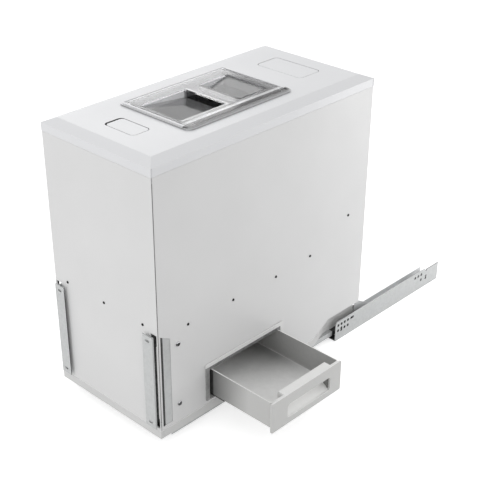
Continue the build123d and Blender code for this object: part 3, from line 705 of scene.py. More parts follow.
@dataclass(frozen=True)
class BareMetal(Finish):
    """A small metal fastener.

    Attributes:
        scuffs: scuffs in a metre.
        scuff_tone: how much they change the colour.
        scuff_depth: how deep they are.
        under_shade: the colour of painted shade on its lower side.
        metallic: the share of the surface that reflects as bare metal.
    """

    scuffs: float = 500.0
    scuff_tone: float = 0.5
    scuff_depth: float = 0.02 * MM
    under_shade: Colour = (0.01, 0.01, 0.01)
    metallic: float = 0.8

    def wire(self, wiring: Wiring, shader: bpy.types.Node) -> None:
        """Adds fine scuffs and the painted shade on its lower side.

        Args:
            wiring: the material's tree.
            shader: its Principled shader.
        """
        skin = CoatTexture.place(wiring, Colour=opaque(self.colour), Tone=self.scuff_tone,
                                 Patches=self.scuffs, Peel=self.scuffs, Gloss=self.roughness)
        # Painted shade on the faces that look down, as if lit from above.
        under_shade = PaintedShade.place(wiring, Colour=skin["Colour"], Dark_Colour=opaque(self.under_shade))
        wiring.feed(shader, {"Base Color": under_shade["Colour"], "Roughness": skin["Roughness"],
                             "Metallic": self.metallic})
        self.bump(wiring, shader, skin["Height"], self.scuff_depth)


@dataclass(frozen=True)
class Finishes:
    """Every finish on the bin."""

    # In these finishes the seam or shade colour is painted shade, and the rim colour painted highlight, on
    # the faces that each mesh marks.
    white_sheet: Finish = CoatedSkin("white powder coat", Slot.WHITE_SHEET, (0.775, 0.775, 0.775), 0.42,
                                     shade_colour=(0.06, 0.06, 0.06))
    white_cover: Finish = CoatedSkin("white moulded cover", Slot.WHITE_COVER, (0.81, 0.815, 0.83), 0.38,
                                     shade_colour=(0.09, 0.09, 0.09))
    base_grey: Finish = CoatedSkin("pale grey powder coat", Slot.BASE_GREY, (0.70, 0.70, 0.695), 0.45,
                                   rim_amount=0.9)
    drawer_grey: Finish = CoatedSkin("satin grey moulding", Slot.DRAWER_GREY, (0.64, 0.64, 0.63), 0.34,
                                     rim_colour=(0.96, 0.96, 0.95), rim_amount=1.0,
                                     peel=1400.0, shade_colour=(0.03, 0.03, 0.03))
    # The tray's painted shade deepens towards the surround that it slides out of; its level faces get painted
    # highlight.
    tray_grey: Finish = SlidingSkin("satin grey tray", Slot.DRAWER_GREY, (0.60, 0.60, 0.59), 0.34,
                                    rim_colour=(0.96, 0.96, 0.95), rim_amount=1.0, peel=1400.0,
                                    shade_colour=(0.03, 0.03, 0.03), dusk_start=0.135, dusk_end=0.215,
                                    lee_start=0.2745, lee_end=0.18, outer=0.122, dusk=0.7)
    bezel_grey: Finish = CoatedSkin("pale grey surround", Slot.BASE_GREY, (0.80, 0.80, 0.795), 0.4,
                                    rim_colour=(0.95, 0.95, 0.95), rim_amount=0.9,
                                    shade_colour=(0.12, 0.12, 0.12))
    grip_white: Finish = CoatedSkin("white grip moulding", Slot.GRIP_WHITE, (0.94, 0.94, 0.93), 0.3,
                                    shade_colour=(0.10, 0.10, 0.095))
    clear: Finish = ClearMoulding("clear lid moulding", Slot.CLEAR_PLASTIC, (0.80, 0.80, 0.81), 0.08)
    silicone: Finish = CoatedSkin("dark silicone seal", Slot.SEAL_RUBBER, (0.05, 0.05, 0.05), 0.6,
                                  rim_colour=(0.08, 0.08, 0.08), peel=1500.0, peel_depth=0.05 * MM)
    # The hopper, spout and guides: zinc darkened as painted shade of the closed bin's inside.
    shaded_inner_zinc: Finish = ZincSheet("shaded inner zinc", Slot.GALVANISED, (0.20, 0.205, 0.21), 0.55,
                                   dark_colour=(0.13, 0.135, 0.14))
    gasket: Finish = CoatedSkin("pale foam gasket", Slot.SEAL_RUBBER, (0.72, 0.72, 0.715), 0.8,
                                peel=1500.0, peel_depth=0.05 * MM)
    dark_plastic: Finish = CoatedSkin("dark runner plastic", Slot.DARK_PLASTIC, (0.02, 0.02, 0.021), 0.5,
                                      rim_colour=(0.06, 0.06, 0.06))
    nylon: Finish = CoatedSkin("roller nylon", Slot.ROLLER_NYLON, (0.72, 0.72, 0.68), 0.4)
    zinc: Finish = ZincSheet("galvanised sheet", Slot.GALVANISED, (0.55, 0.56, 0.56), 0.48)
    rivet: Finish = BareMetal("dull rivet metal", Slot.RIVET_METAL, (0.05, 0.05, 0.05), 0.5)
    screw: Finish = BareMetal("bright zinc screw", Slot.SCREW_METAL, (0.72, 0.72, 0.74), 0.22)


@dataclass
class Workshop:
    """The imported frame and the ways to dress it.

    Attributes:
        nodes: the CAD nodes.
        bodies: the body that each node rides on.
        merge_distance: points closer than this are one.
        flat_angle: faces that differ less are one flat face.
        sharp_angle: edges that turn further are rounded.
        smooth_angle: edges that turn less are shaded smooth.
    """

    nodes: dict[str, bpy.types.Object]
    bodies: dict[str, str]
    merge_distance: float = 0.002 * MM
    flat_angle: float = math.radians(0.5)
    sharp_angle: float = math.radians(32.0)
    smooth_angle: float = math.radians(50.0)

    def dress(self, node: str, finish: Finish) -> None:
        """Gives a CAD node its finish.

        Args:
            node: the node's name.
            finish: what it is covered with.
        """
        mesh = self.nodes[node].data
        mesh.materials.clear()
        mesh.materials.append(finish.material())
        log.info("%s: %s", node, finish.name)

    def merged(self, node: str) -> bmesh.types.BMesh:
        """A CAD node's solid with shared points and undivided flat faces.

        Args:
            node: the node's name.

        Returns:
            The solid, with empty marks on its faces.
        """
        solid = bmesh.new()
        solid.from_mesh(self.nodes[node].data)
        for layer in (RIM, SHADE, FADE):
            solid.faces.layers.float.new(layer)
        bmesh.ops.remove_doubles(solid, verts=solid.verts, dist=self.merge_distance)
        bmesh.ops.dissolve_limit(solid, angle_limit=self.flat_angle, verts=solid.verts, edges=solid.edges)
        return solid

    def round_edges(self, solid: bmesh.types.BMesh, radius: float, segments: int, turn: float) -> None:
        """Rounds a solid's sharp edges and marks the new faces as its rim, where painted highlight goes.

        Args:
            solid: the solid to change.
            radius: how much is taken off each edge.
            segments: faces across the round.
            turn: edges that turn further than this angle are rounded.
        """
        sharp = [edge for edge in solid.edges if edge.is_manifold and edge.calc_face_angle() > turn]
        made = bmesh.ops.bevel(solid, geom=sharp, offset=radius, offset_type="OFFSET", affect="EDGES",
                               segments=segments, profile=0.5, material=-1, clamp_overlap=True)
        rim = solid.faces.layers.float[RIM]
        for face in made["faces"]:
            face[rim] = 1.0

    def soften(self, node: str, finish: Finish, radius: float, segments: int = 2,
               turn: float | None = None, shade: FaceTest | None = None, light: FaceTest | None = None,
               fade: FaceTest | None = None, cuts: Sequence[Vector] = (),
               prepare: Callable[[bmesh.types.BMesh, Vector, Vector], None] | None = None) -> None:
        """Shows a CAD node as a copy with rounded edges, which stands for it.

        Args:
            node: the node's name.
            finish: what the copy is covered with.
            radius: how much is taken off each edge.
            segments: faces across the round.
            turn: edges that turn further than this angle are rounded, the workshop's own angle if not given.
            shade: how much painted shade a face gets.
            light: how much painted highlight a face gets, as on a rim.
            fade: how much painted shade from an opening a face may get.
            cuts: points on an axis, through which faces are divided so that their ends can be marked alone.
            prepare: what is done to the copy, within its box, before its edges are rounded.
        """
        solid = self.merged(node)
        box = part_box(node)
        if prepare:
            prepare(solid, *box)
        self.round_edges(solid, radius, segments, turn or self.sharp_angle)
        for cut in cuts:
            whole = [*solid.verts, *solid.edges, *solid.faces]
            bmesh.ops.bisect_plane(solid, geom=whole, plane_co=cut, plane_no=cut.normalized())
        for layer, test in ((SHADE, shade), (RIM, light), (FADE, fade)):
            if test:
                self.mark(solid, layer, test, box)
        self.show(solid, f"{node}_rounded", node, finish)

    @staticmethod
    def mark(solid: bmesh.types.BMesh, layer: str, test: FaceTest, box: tuple[Vector, Vector]) -> None:
        """Marks some of a solid's faces.

        Args:
            solid: the solid.
            layer: the mark's name.
            test: how strongly a face gets the mark, from 0 to 1.
            box: the lowest and highest corner of the piece.
        """
        marks = solid.faces.layers.float[layer]
        for face in solid.faces:
            face[marks] = max(face[marks], test(Spot(face.calc_center_median(), face.normal, *box)))

    def show(self, solid: bmesh.types.BMesh, name: str, node: str, finish: Finish) -> None:
        """Turns a finished solid into a piece that stands for a CAD node and rides on its body.

        Args:
            solid: the solid, which is used up.
            name: the piece's name.
            node: the CAD node that it replaces.
            finish: what it is covered with.
        """
        mesh = bpy.data.meshes.new(name)
        solid.to_mesh(mesh)
        solid.free()
        mesh.shade_smooth()
        mesh.set_sharp_from_angle(angle=self.smooth_angle)
        mesh.materials.append(finish.material())
        piece = bpy.data.objects.new(name, mesh)
        bpy.context.scene.collection.objects.link(piece)
        even = piece.modifiers.new("even normals", "WEIGHTED_NORMAL")
        even.keep_sharp = True
        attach(piece, self.bodies[node])
        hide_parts(node)
        log.info("%s: %s, %d faces", name, finish.name, len(mesh.polygons))

    def islands(self, node: str) -> list[tuple[Vector, Vector]]:
        """The box of each separate solid in a CAD node.

        Args:
            node: the node's name.

        Returns:
            The lowest and highest corner of each solid.
        """
        solid = self.merged(node)
        left = set(solid.verts)
        boxes = []
        while left:
            island = {left.pop()}
            edge_of_search = set(island)
            while edge_of_search:
                near = {edge.other_vert(vert) for vert in edge_of_search for edge in vert.link_edges}
                edge_of_search = near & left
                island |= edge_of_search
                left -= edge_of_search
            low = Vector([min(vert.co[axis] for vert in island) for axis in range(3)])
            high = Vector([max(vert.co[axis] for vert in island) for axis in range(3)])
            boxes.append((low, high))
        solid.free()
        return sorted(boxes, key=lambda box: tuple(box[0]))


@dataclass
class SubAssembly:
    """Pieces that are built and dressed together.

    Attributes:
        shop: the frame and the ways to dress it.
        finishes: every finish on the bin.
    """

    shop: Workshop
    finishes: Finishes

    def build(self) -> None:
        """Builds and dresses the pieces."""
        raise NotImplementedError


@dataclass
class BodyShell(SubAssembly):
    """The four walls and the folded base.

    Attributes:
        sheet_edge: how much is taken off the walls' edges.
        base_edge: how much is taken off the base's folds.
        inner_shade_amount: how much painted shade the walls' inner faces get.
        walls: the walls' nodes.
    """

    sheet_edge: float = 0.3 * MM
    base_edge: float = 0.6 * MM
    inner_shade_amount: float = 0.8
    walls: tuple[str, ...] = ("side_panel_right", "side_panel_left", "front_panel", "back_panel")

    def build(self) -> None:
        """Rounds the walls' cut edges and the base's folds, with painted shade inside the walls and painted
        highlight on the base's level faces.
        """
        for wall in self.walls:
            self.shop.soften(wall, self.finishes.white_sheet, self.sheet_edge, shade=self.bare)
        self.shop.soften("base_tray", self.finishes.base_grey, self.base_edge, light=level)

    @cached_property
    def middle(self) -> Vector:
        """The middle of the base."""
        low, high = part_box("base_tray")
        return (low + high) / 2

    # This test paints shade on the walls' inner faces.
    def bare(self, spot: Spot) -> float:
        """How much painted shade a wall's face gets: those that look into the bin are darkened.

        Args:
            spot: the face.

        Returns:
            The painted shade's share.
        """
        size = spot.high - spot.low
        axis = min(range(3), key=lambda index: size[index])
        inward = self.middle[axis] - (spot.low + spot.high)[axis] / 2
        return self.inner_shade_amount * (spot.normal[axis] * inward > abs(inward) * LEANING)


@dataclass
class TopCover(SubAssembly):
    """The moulded cover with its two caps and the surround of the filling opening.

    Attributes:
        cover_edge: how much is taken off the cover's edges.
        cover_segments: faces across the cover's rounds.
        cap_edge: how much is taken off the caps' edges.
        frame_edge: how much is taken off the surround's edges.
        bevel_turn: the cover's edges that turn further than this are rounded.
        seam_top: how far below a cap's top its seam begins.
        seam_reach: how far from a cap its seam reaches.
        ledge_drop: how far below the surround's top its throat begins.
        rim_width: how wide the surround's rim is.
        lee_width: how wide its painted shade side on the right is, with the ledge inside the rim.
        step_inset: how wide the step outside the rim is.
        step_drop: how far below the surround's top it lies.
        outer_wall: how near its outline a face is part of the surround's outer wall.
        throat_shade: how much painted shade the throat gets.
        near_shade: how much painted shade the rim on the right gets.
        wall_shade: how much painted shade the outer walls at the front and on the right get.
        step_shade: how much painted shade the step gets.
        caps: how much painted shade the seam round each cap gets.
    """

    cover_edge: float = 0.5 * MM
    cover_segments: int = 3
    cap_edge: float = 0.4 * MM
    frame_edge: float = 0.4 * MM
    bevel_turn: float = math.radians(18.0)
    seam_top: float = 0.35 * MM
    seam_reach: float = 4.5 * MM
    ledge_drop: float = 8.0 * MM
    rim_width: float = 7.4 * MM
    lee_width: float = 16.0 * MM
    step_inset: float = 2.4 * MM
    step_drop: float = 1.0 * MM
    outer_wall: float = 1.0 * MM
    throat_shade: float = 0.8
    near_shade: float = 0.45
    wall_shade: float = 0.62
    step_shade: float = 0.3
    caps: dict[str, float] = field(default_factory=lambda: {"front_cap": 1.0, "rear_cap": 0.55})

    def build(self) -> None:
        """Rounds the mouldings' edges and marks painted shade in the seams, the throat and on the surround's
        right side.
        """
        cover = self.finishes.white_cover
        self.shop.soften("top_cover", cover, self.cover_edge, self.cover_segments, self.bevel_turn,
                         shade=self.seam_shade)
        for cap in self.caps:
            self.shop.soften(cap, cover, self.cap_edge, shade=self.seam_shade)
        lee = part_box("inlet_frame")[1].x - self.lee_width
        self.shop.soften("inlet_frame", cover, self.frame_edge, shade=self.frame_shade, cuts=on_axis(0, lee))

    def frame_shade(self, spot: Spot) -> float:
        """How much painted shade a face of the filling opening's surround gets.

        Args:
            spot: the face.

        Returns:
            A share that is large in the throat and on the right, and smaller on the other steps.
        """
        at, low, high = spot.at, spot.low, spot.high
        from_right = high.x - at.x
        inset = min(at.x - low.x, from_right, at.y - low.y, high.y - at.y)
        if at.z < high.z - self.ledge_drop:
            return 0.0 if spot.normal.x > LEANING else self.throat_shade
        if inset < self.outer_wall and (spot.normal.x > LEANING or spot.normal.y < -LEANING):
            return self.wall_shade
        if from_right < self.lee_width:
            return self.near_shade if from_right < self.rim_width else 1.0
        return self.step_shade * (inset < self.step_inset and at.z < high.z - self.step_drop)

    @cached_property
    def seam_shades(self) -> list[tuple[Vector, Vector, float]]:
        """Each cap's box and how much painted shade its seam gets."""
        return [(*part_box(cap), depth) for cap, depth in self.caps.items()]

    def seam_shade(self, spot: Spot) -> float:
        """How much painted shade a face of the cover or of a cap gets.

        Args:
            spot: the face.

        Returns:
            The painted shade's share on the walls and the floor of the gap round a cap.
        """
        reach = self.seam_reach
        for low, high, depth in self.seam_shades:
            near = all(low[axis] - reach < spot.at[axis] < high[axis] + reach for axis in (0, 1))
            if near and low.z - self.seam_top < spot.at.z < high.z - self.seam_top:
                return depth
        return 0.0


@dataclass
class FillingLid(SubAssembly):
    """The clear lid on its hinge pins and seal.

    Attributes:
        lid_edge: how much is taken off each edge.
        lip_width: the painted highlight strip along the left side.
        shade_strip_width: the painted shade strip along the right side.
        shade_strip_start: how far behind the lid's front edge it begins.
        shade_strip_amount: how much painted shade it gets.
        light_strip_width: the painted highlight strip next to it.
        well_edge: how far from the middle the wells reach.
        well_light_strip: the painted highlight strip along the front well and on the grip bar's front edge.
        margin: the painted shade strip along the front edge.
        margin_shade: how much painted shade it gets.
        bar_front: where the grip bar's front wall is, from the lid's middle.
        top_skin: how far below the top a face is still part of it.
        wall_light: how much painted highlight the wells' left walls get.
    """

    lid_edge: float = 1.0 * MM
    lip_width: float = 4.5 * MM
    shade_strip_width: float = 11.0 * MM
    shade_strip_start: float = 16.0 * MM
    shade_strip_amount: float = 0.8
    light_strip_width: float = 7.0 * MM
    well_edge: float = 47.0 * MM
    well_light_strip: float = 4.0 * MM
    margin: float = 8.5 * MM
    margin_shade: float = 0.35
    bar_front: float = -3.0 * MM
    top_skin: float = 1.5 * MM
    wall_light: float = 0.9

    def build(self) -> None:
        """Rounds the lid's edges, marks its painted highlights and shade, and dresses what it closes on."""
        low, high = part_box("lid")
        shade_strip = high.x - self.shade_strip_width
        bar = (low.y + high.y) / 2 + self.bar_front
        well = self.well_edge
        across = on_axis(0, low.x + self.lip_width, -well, well, well + self.well_light_strip,
                         shade_strip - self.light_strip_width, shade_strip)
        along = on_axis(1, low.y + self.margin, low.y + self.shade_strip_start, bar, bar + self.well_light_strip)
        self.shop.soften("lid", self.finishes.clear, self.lid_edge, shade=self.lid_shade, light=self.lid_light,
                         cuts=across + along)
        self.shop.dress("lid_seal", self.finishes.silicone)
        self.shop.dress("lid_hinge_pins", self.finishes.screw)

    def lid_light(self, spot: Spot) -> float:
        """How much painted highlight and glow a face gets.

        Args:
            spot: the face.

        Returns:
            A share that is large for the strips along the sides, the front well and the grip bar's front
            edge, and for the wells' left walls.
        """
        at, low, high = spot.at, spot.low, spot.high
        if at.z < high.z - self.top_skin:
            return self.wall_light * (spot.normal.x > SQUARE and -self.well_edge < at.x < 0)
        bar = (low.y + high.y) / 2 + self.bar_front
        shade_strip = high.x - self.shade_strip_width
        at_well = 0 < at.x - self.well_edge < self.well_light_strip and low.y + self.margin < at.y < bar
        at_bar = abs(at.x) < self.well_edge + self.well_light_strip and 0 < at.y - bar < self.well_light_strip
        at_side = at.x < low.x + self.lip_width or shade_strip - self.light_strip_width < at.x < shade_strip
        return at_well or at_bar or at_side

    def lid_shade(self, spot: Spot) -> float:
        """How much painted shade a face gets.

        Args:
            spot: the face.

        Returns:
            A share that is large on the grip bar's front wall, and smaller on the right's strip and the front
            margin.
        """
        at, low, high = spot.at, spot.low, spot.high
        if at.z < high.z - self.top_skin:
            in_well = abs(at.x) < self.well_edge and low.y + self.well_edge < at.y < (low.y + high.y) / 2
            return in_well and spot.normal.y < -SQUARE
        if at.x > high.x - self.shade_strip_width and at.y > low.y + self.shade_strip_start:
            return self.shade_strip_amount
        return self.margin_shade * (at.y < low.y + self.margin)


@dataclass
class RiceWay(SubAssembly):
    """The hopper inside the walls, its spout and the drawer's guides."""

    def build(self) -> None:
        """Dresses the inner sheet-metal in zinc darkened as painted shade."""
        for node in ("hopper", "outlet_spout", "drawer_guides"):
            self.shop.dress(node, self.finishes.shaded_inner_zinc)


@dataclass
class RiceDrawer(SubAssembly):
    """The drawer, the grip behind its slot and the surround it slides in.

    Attributes:
        tray_edge: how much is taken off the edges of the tray and the grip.
        front_edge: how much is taken off the front's edges, and how deep the tray's rim is.
        bezel_edge: how much is taken off the surround's edges.
        mouth_shadow: how far out of the surround the tray's outer walls get black painted shadow.
        wall_shade: how much painted shade the tray's inner rear wall gets.
        bezel_plate: how thick the surround's plate is.
        bezel_band: how wide its bands beside the opening are.
        bezel_light: how much of the band above the opening is left out of the painted shade.
        band_shade: how much painted shade the band left of the opening gets.
    """

    tray_edge: float = 0.45 * MM
    front_edge: float = 0.6 * MM
    bezel_edge: float = 0.35 * MM
    mouth_shadow: float = 4.0 * MM
    wall_shade: float = 0.36
    bezel_plate: float = 2.0 * MM
    bezel_band: float = 8.5 * MM
    bezel_light: float = 7.1 * MM
    band_shade: float = 0.77

    def build(self) -> None:
        """Rounds the drawer's rims, marks painted highlight on level faces and painted shade in the tray, the
        grip and the surround, and dresses the rest.
        """
        shop, finishes = self.shop, self.finishes
        shop.soften("drawer_tray", finishes.tray_grey, self.tray_edge, shade=self.tray_shade, light=level,
                    fade=self.in_dusk, cuts=on_axis(0, self.mouth))
        shop.soften("drawer_front", finishes.drawer_grey, self.front_edge, light=level)
        shop.soften("drawer_grip", finishes.grip_white, self.tray_edge, shade=self.rear_wall)
        low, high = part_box("drawer_bezel")
        cuts = on_axis(1, low.y + self.bezel_band, high.y - self.bezel_band)
        cuts += on_axis(2, high.z - self.bezel_light)
        shop.soften("drawer_bezel", finishes.bezel_grey, self.bezel_edge, shade=self.mouth_shade, cuts=cuts)
        shop.dress("drawer_gasket", finishes.gasket)
        shop.dress("drawer_runners", finishes.dark_plastic)

    @cached_property
    def mouth(self) -> float:
        """How far out the tray's black painted shadow reaches."""
        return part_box("drawer_bezel")[1].x + self.mouth_shadow

    @staticmethod
    def rear_wall(spot: Spot) -> float:
        """One for the inner face of a hollow piece's rear end, which gets painted shade."""
        return spot.normal.y < -SLANTED and spot.at.y > (spot.low.y + spot.high.y) / 2

    def below_rim(self, spot: Spot) -> bool:
        """Tells whether a face of the tray lies below its rim."""
        return spot.at.z < spot.high.z - self.front_edge

    def outer_wall(self, spot: Spot) -> bool:
        """Tells whether a face of the tray is part of an outer side wall."""
        return min(spot.at.y - spot.low.y, spot.high.y - spot.at.y) < self.front_edge and self.below_rim(spot)

    def tray_shade(self, spot: Spot) -> float:
        """How much painted shade a face of the tray gets: black inside the surround, and partly on the inner
        rear wall.
        """
        inside = self.outer_wall(spot) and spot.at.x < self.mouth
        return 1.0 if inside else self.wall_shade * self.rear_wall(spot)

    def in_dusk(self, spot: Spot) -> float:
        """One for the tray's floor and outer walls, whose painted shade deepens towards the surround."""
        return self.outer_wall(spot) or self.below_rim(spot) and level(spot)

    def mouth_shade(self, spot: Spot) -> float:
        """How much painted shadow from the drawer a face of the surround gets.

        Args:
            spot: the face.

        Returns:
            A share that is large along the opening and on the band left of it.
        """
        at, low, high = spot.at, spot.low, spot.high
        if at.x < high.x - self.bezel_plate or at.z > high.z - self.bezel_light:
            return 0.0
        return self.band_shade if at.y < low.y + self.bezel_band else float(at.y < high.y - self.bezel_band)


@dataclass
class DoorBrackets(SubAssembly):
    """The galvanised legs that screw to the door.

    Attributes:
        edge: how much is taken off each edge.
        leg_thickness: how thick the front leg is.
        web_inset: how far the web lies behind the bracket's outer side.
        step_shade: how much painted shade the step behind the leg gets.
    """

    edge: float = 0.3 * MM
    leg_thickness: float = 2.5 * MM
    web_inset: float = 8.0 * MM
    step_shade: float = 0.62

    def build(self) -> None:
        """Rounds the legs' cut edges and marks painted shade behind them."""
        for side in ("right", "left"):
            self.shop.soften(f"door_bracket_{side}", self.finishes.zinc, self.edge, shade=self.bracket_shade)

    def bracket_shade(self, spot: Spot) -> float:
        """How much painted shade a face gets.

        Args:
            spot: the face.

        Returns:
            A share that is large on the web behind the leg and on the leg's inner edge, and smaller on its
            step.
        """
        inner, outer = sorted((abs(spot.low.x), abs(spot.high.x)))
        outward = spot.normal.x * math.copysign(1.0, spot.low.x + spot.high.x)
        behind_leg = spot.at.y > spot.low.y + self.leg_thickness
        web = outward > SLANTED and abs(spot.at.x) < outer - self.web_inset and behind_leg
        inner_edge = outward < -SLANTED and abs(spot.at.x) < inner + self.edge
        return 1.0 if web or inner_edge else self.step_shade * (spot.normal.y < -SLANTED and behind_leg)


@dataclass(frozen=True)
class HeadShape:
    """A fastener's head.

    Attributes:
        dome: the share of its height that is rounded.
        recess: the radius of the recess in its crown, as a share of the head's radius.
        sink: the recess's depth, as a share of the head's height.
        lobes: how far the recess is drawn in between its four arms, 0 for a round one.
    """

    dome: float
    recess: float
    sink: float
    lobes: float = 0.0


@dataclass
class Fasteners(SubAssembly):
    """The screws of the door brackets and the hopper's rivets, modelled afresh on the CAD ones' places.

    Attributes:
        screw_head: how the screws' heads look.
        rivet_head: how the rivets' heads look.
        shank_share: the shank's radius, as a share of the head's.
        crown_rim: the least width of a crown round its recess, as a share of its radius.
        rim_points: points round a head.
        dome_steps: faces across its dome.
        wall_inset: how far inside the base's outline the walls stand.
        shade_line: faces that look up less than this get painted shade.
    """

    screw_head: HeadShape = HeadShape(dome=0.8, recess=0.42, sink=0.5, lobes=0.5)
    rivet_head: HeadShape = HeadShape(dome=0.6, recess=0.35, sink=0.6)
    shank_share: float = 0.5
    crown_rim: float = 0.125
    rim_points: int = 32
    dome_steps: int = 6
    wall_inset: float = 1.0 * MM
    shade_line: float = 0.4

    def build(self) -> None:
        """Makes one piece of all screws and one of all rivets."""
        self.replace("bracket_screws", self.finishes.screw, self.screw_head)
        self.replace("panel_rivets", self.finishes.rivet, self.rivet_head)

    def replace(self, node: str, finish: Finish, shape: HeadShape) -> None:
        """Makes a node's fasteners afresh.

        Args:
            node: the CAD node.
            finish: what they are covered with.
            shape: how their heads look.
        """
        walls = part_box("base_tray")
        middle = (walls[0] + walls[1]) / 2
        solid = bmesh.new()
        for layer in (RIM, SHADE):
            solid.faces.layers.float.new(layer)
        for low, high in self.shop.islands(node):
            size = high - low
            axis = min((0, 1), key=lambda index: size[index])
            foot = (low + high) / 2
            outwards = foot[axis] > middle[axis]
            direction = on_axis(axis, 1.0 if outwards else -1.0)[0]
            wall, top, bottom = (walls[1], high, low) if outwards else (walls[0], low, high)
            foot[axis] = wall[axis] - direction[axis] * self.wall_inset
            turn = Vector((0.0, 0.0, 1.0)).rotation_difference(direction).to_matrix().to_4x4()
            place = Matrix.Translation(foot) @ turn
            radius = size.z / 2
            self.add_head(solid, place, radius, abs(top[axis] - foot[axis]), shape)
            self.add_shank(solid, place, radius * self.shank_share, abs(bottom[axis] - foot[axis]))
        bmesh.ops.recalc_face_normals(solid, faces=solid.faces)
        # Paint shade onto the heads' lower sides.
        self.shop.mark(solid, SHADE, self.lower_shade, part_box(node))
        self.shop.show(solid, f"{node}_modelled", node, finish)

    def lower_shade(self, spot: Spot) -> float:
        """One for a face that looks down, which gets painted shade."""
        return spot.normal.z < self.shade_line

    def add_head(self, solid: bmesh.types.BMesh, place: Matrix, radius: float, height: float,
                 shape: HeadShape) -> None:
        """Adds a domed head with a recess in its crown.

        Args:
            solid: what it is added to.
            place: its foot, with +Z pointing outwards.
            radius: its radius.
            height: its height.
            shape: how it looks.
        """
        head = bmesh.new()
        bmesh.ops.create_cone(head, cap_ends=True, segments=self.rim_points, radius1=radius, radius2=radius,
                              depth=height, matrix=Matrix.Translation((0.0, 0.0, height / 2)))
        rim = [edge for edge in head.edges if all(vert.co.z > height / 2 for vert in edge.verts)]
        bmesh.ops.bevel(head, geom=rim, offset=height * shape.dome, offset_type="OFFSET", affect="EDGES",
                        segments=self.dome_steps, profile=0.5, material=-1, clamp_overlap=True)
        crown = max(head.faces, key=lambda face: face.calc_center_median().z)
        flat = crown.verts[0].co.xy.length
        bmesh.ops.inset_individual(head, faces=[crown],
                                   thickness=max(flat - radius * shape.recess, flat * self.crown_rim))
        for vert in crown.verts:
            angle = math.atan2(vert.co.y, vert.co.x)
            vert.co.xy *= 1.0 - shape.lobes * abs(math.sin(2 * angle))
        sunk = bmesh.ops.extrude_discrete_faces(head, faces=[crown])["faces"]
        bmesh.ops.translate(head, verts=sunk[0].verts, vec=(0.0, 0.0, -height * shape.sink))
        bmesh.ops.transform(head, matrix=place, verts=head.verts)
        mesh = bpy.data.meshes.new("head")
        head.to_mesh(mesh)
        head.free()
        solid.from_mesh(mesh)
        bpy.data.meshes.remove(mesh)

    def add_shank(self, solid: bmesh.types.BMesh, place: Matrix, radius: float, depth: float) -> None:
        """Adds the shank behind a head.

        Args:
            solid: what it is added to.
            place: the head's foot, with +Z pointing outwards.
            radius: the shank's radius.
            depth: how far it reaches inwards.
        """
        bmesh.ops.create_cone(solid, cap_ends=True, segments=self.rim_points, radius1=radius, radius2=radius,
                              depth=depth, matrix=place @ Matrix.Translation((0.0, 0.0, -depth / 2)))


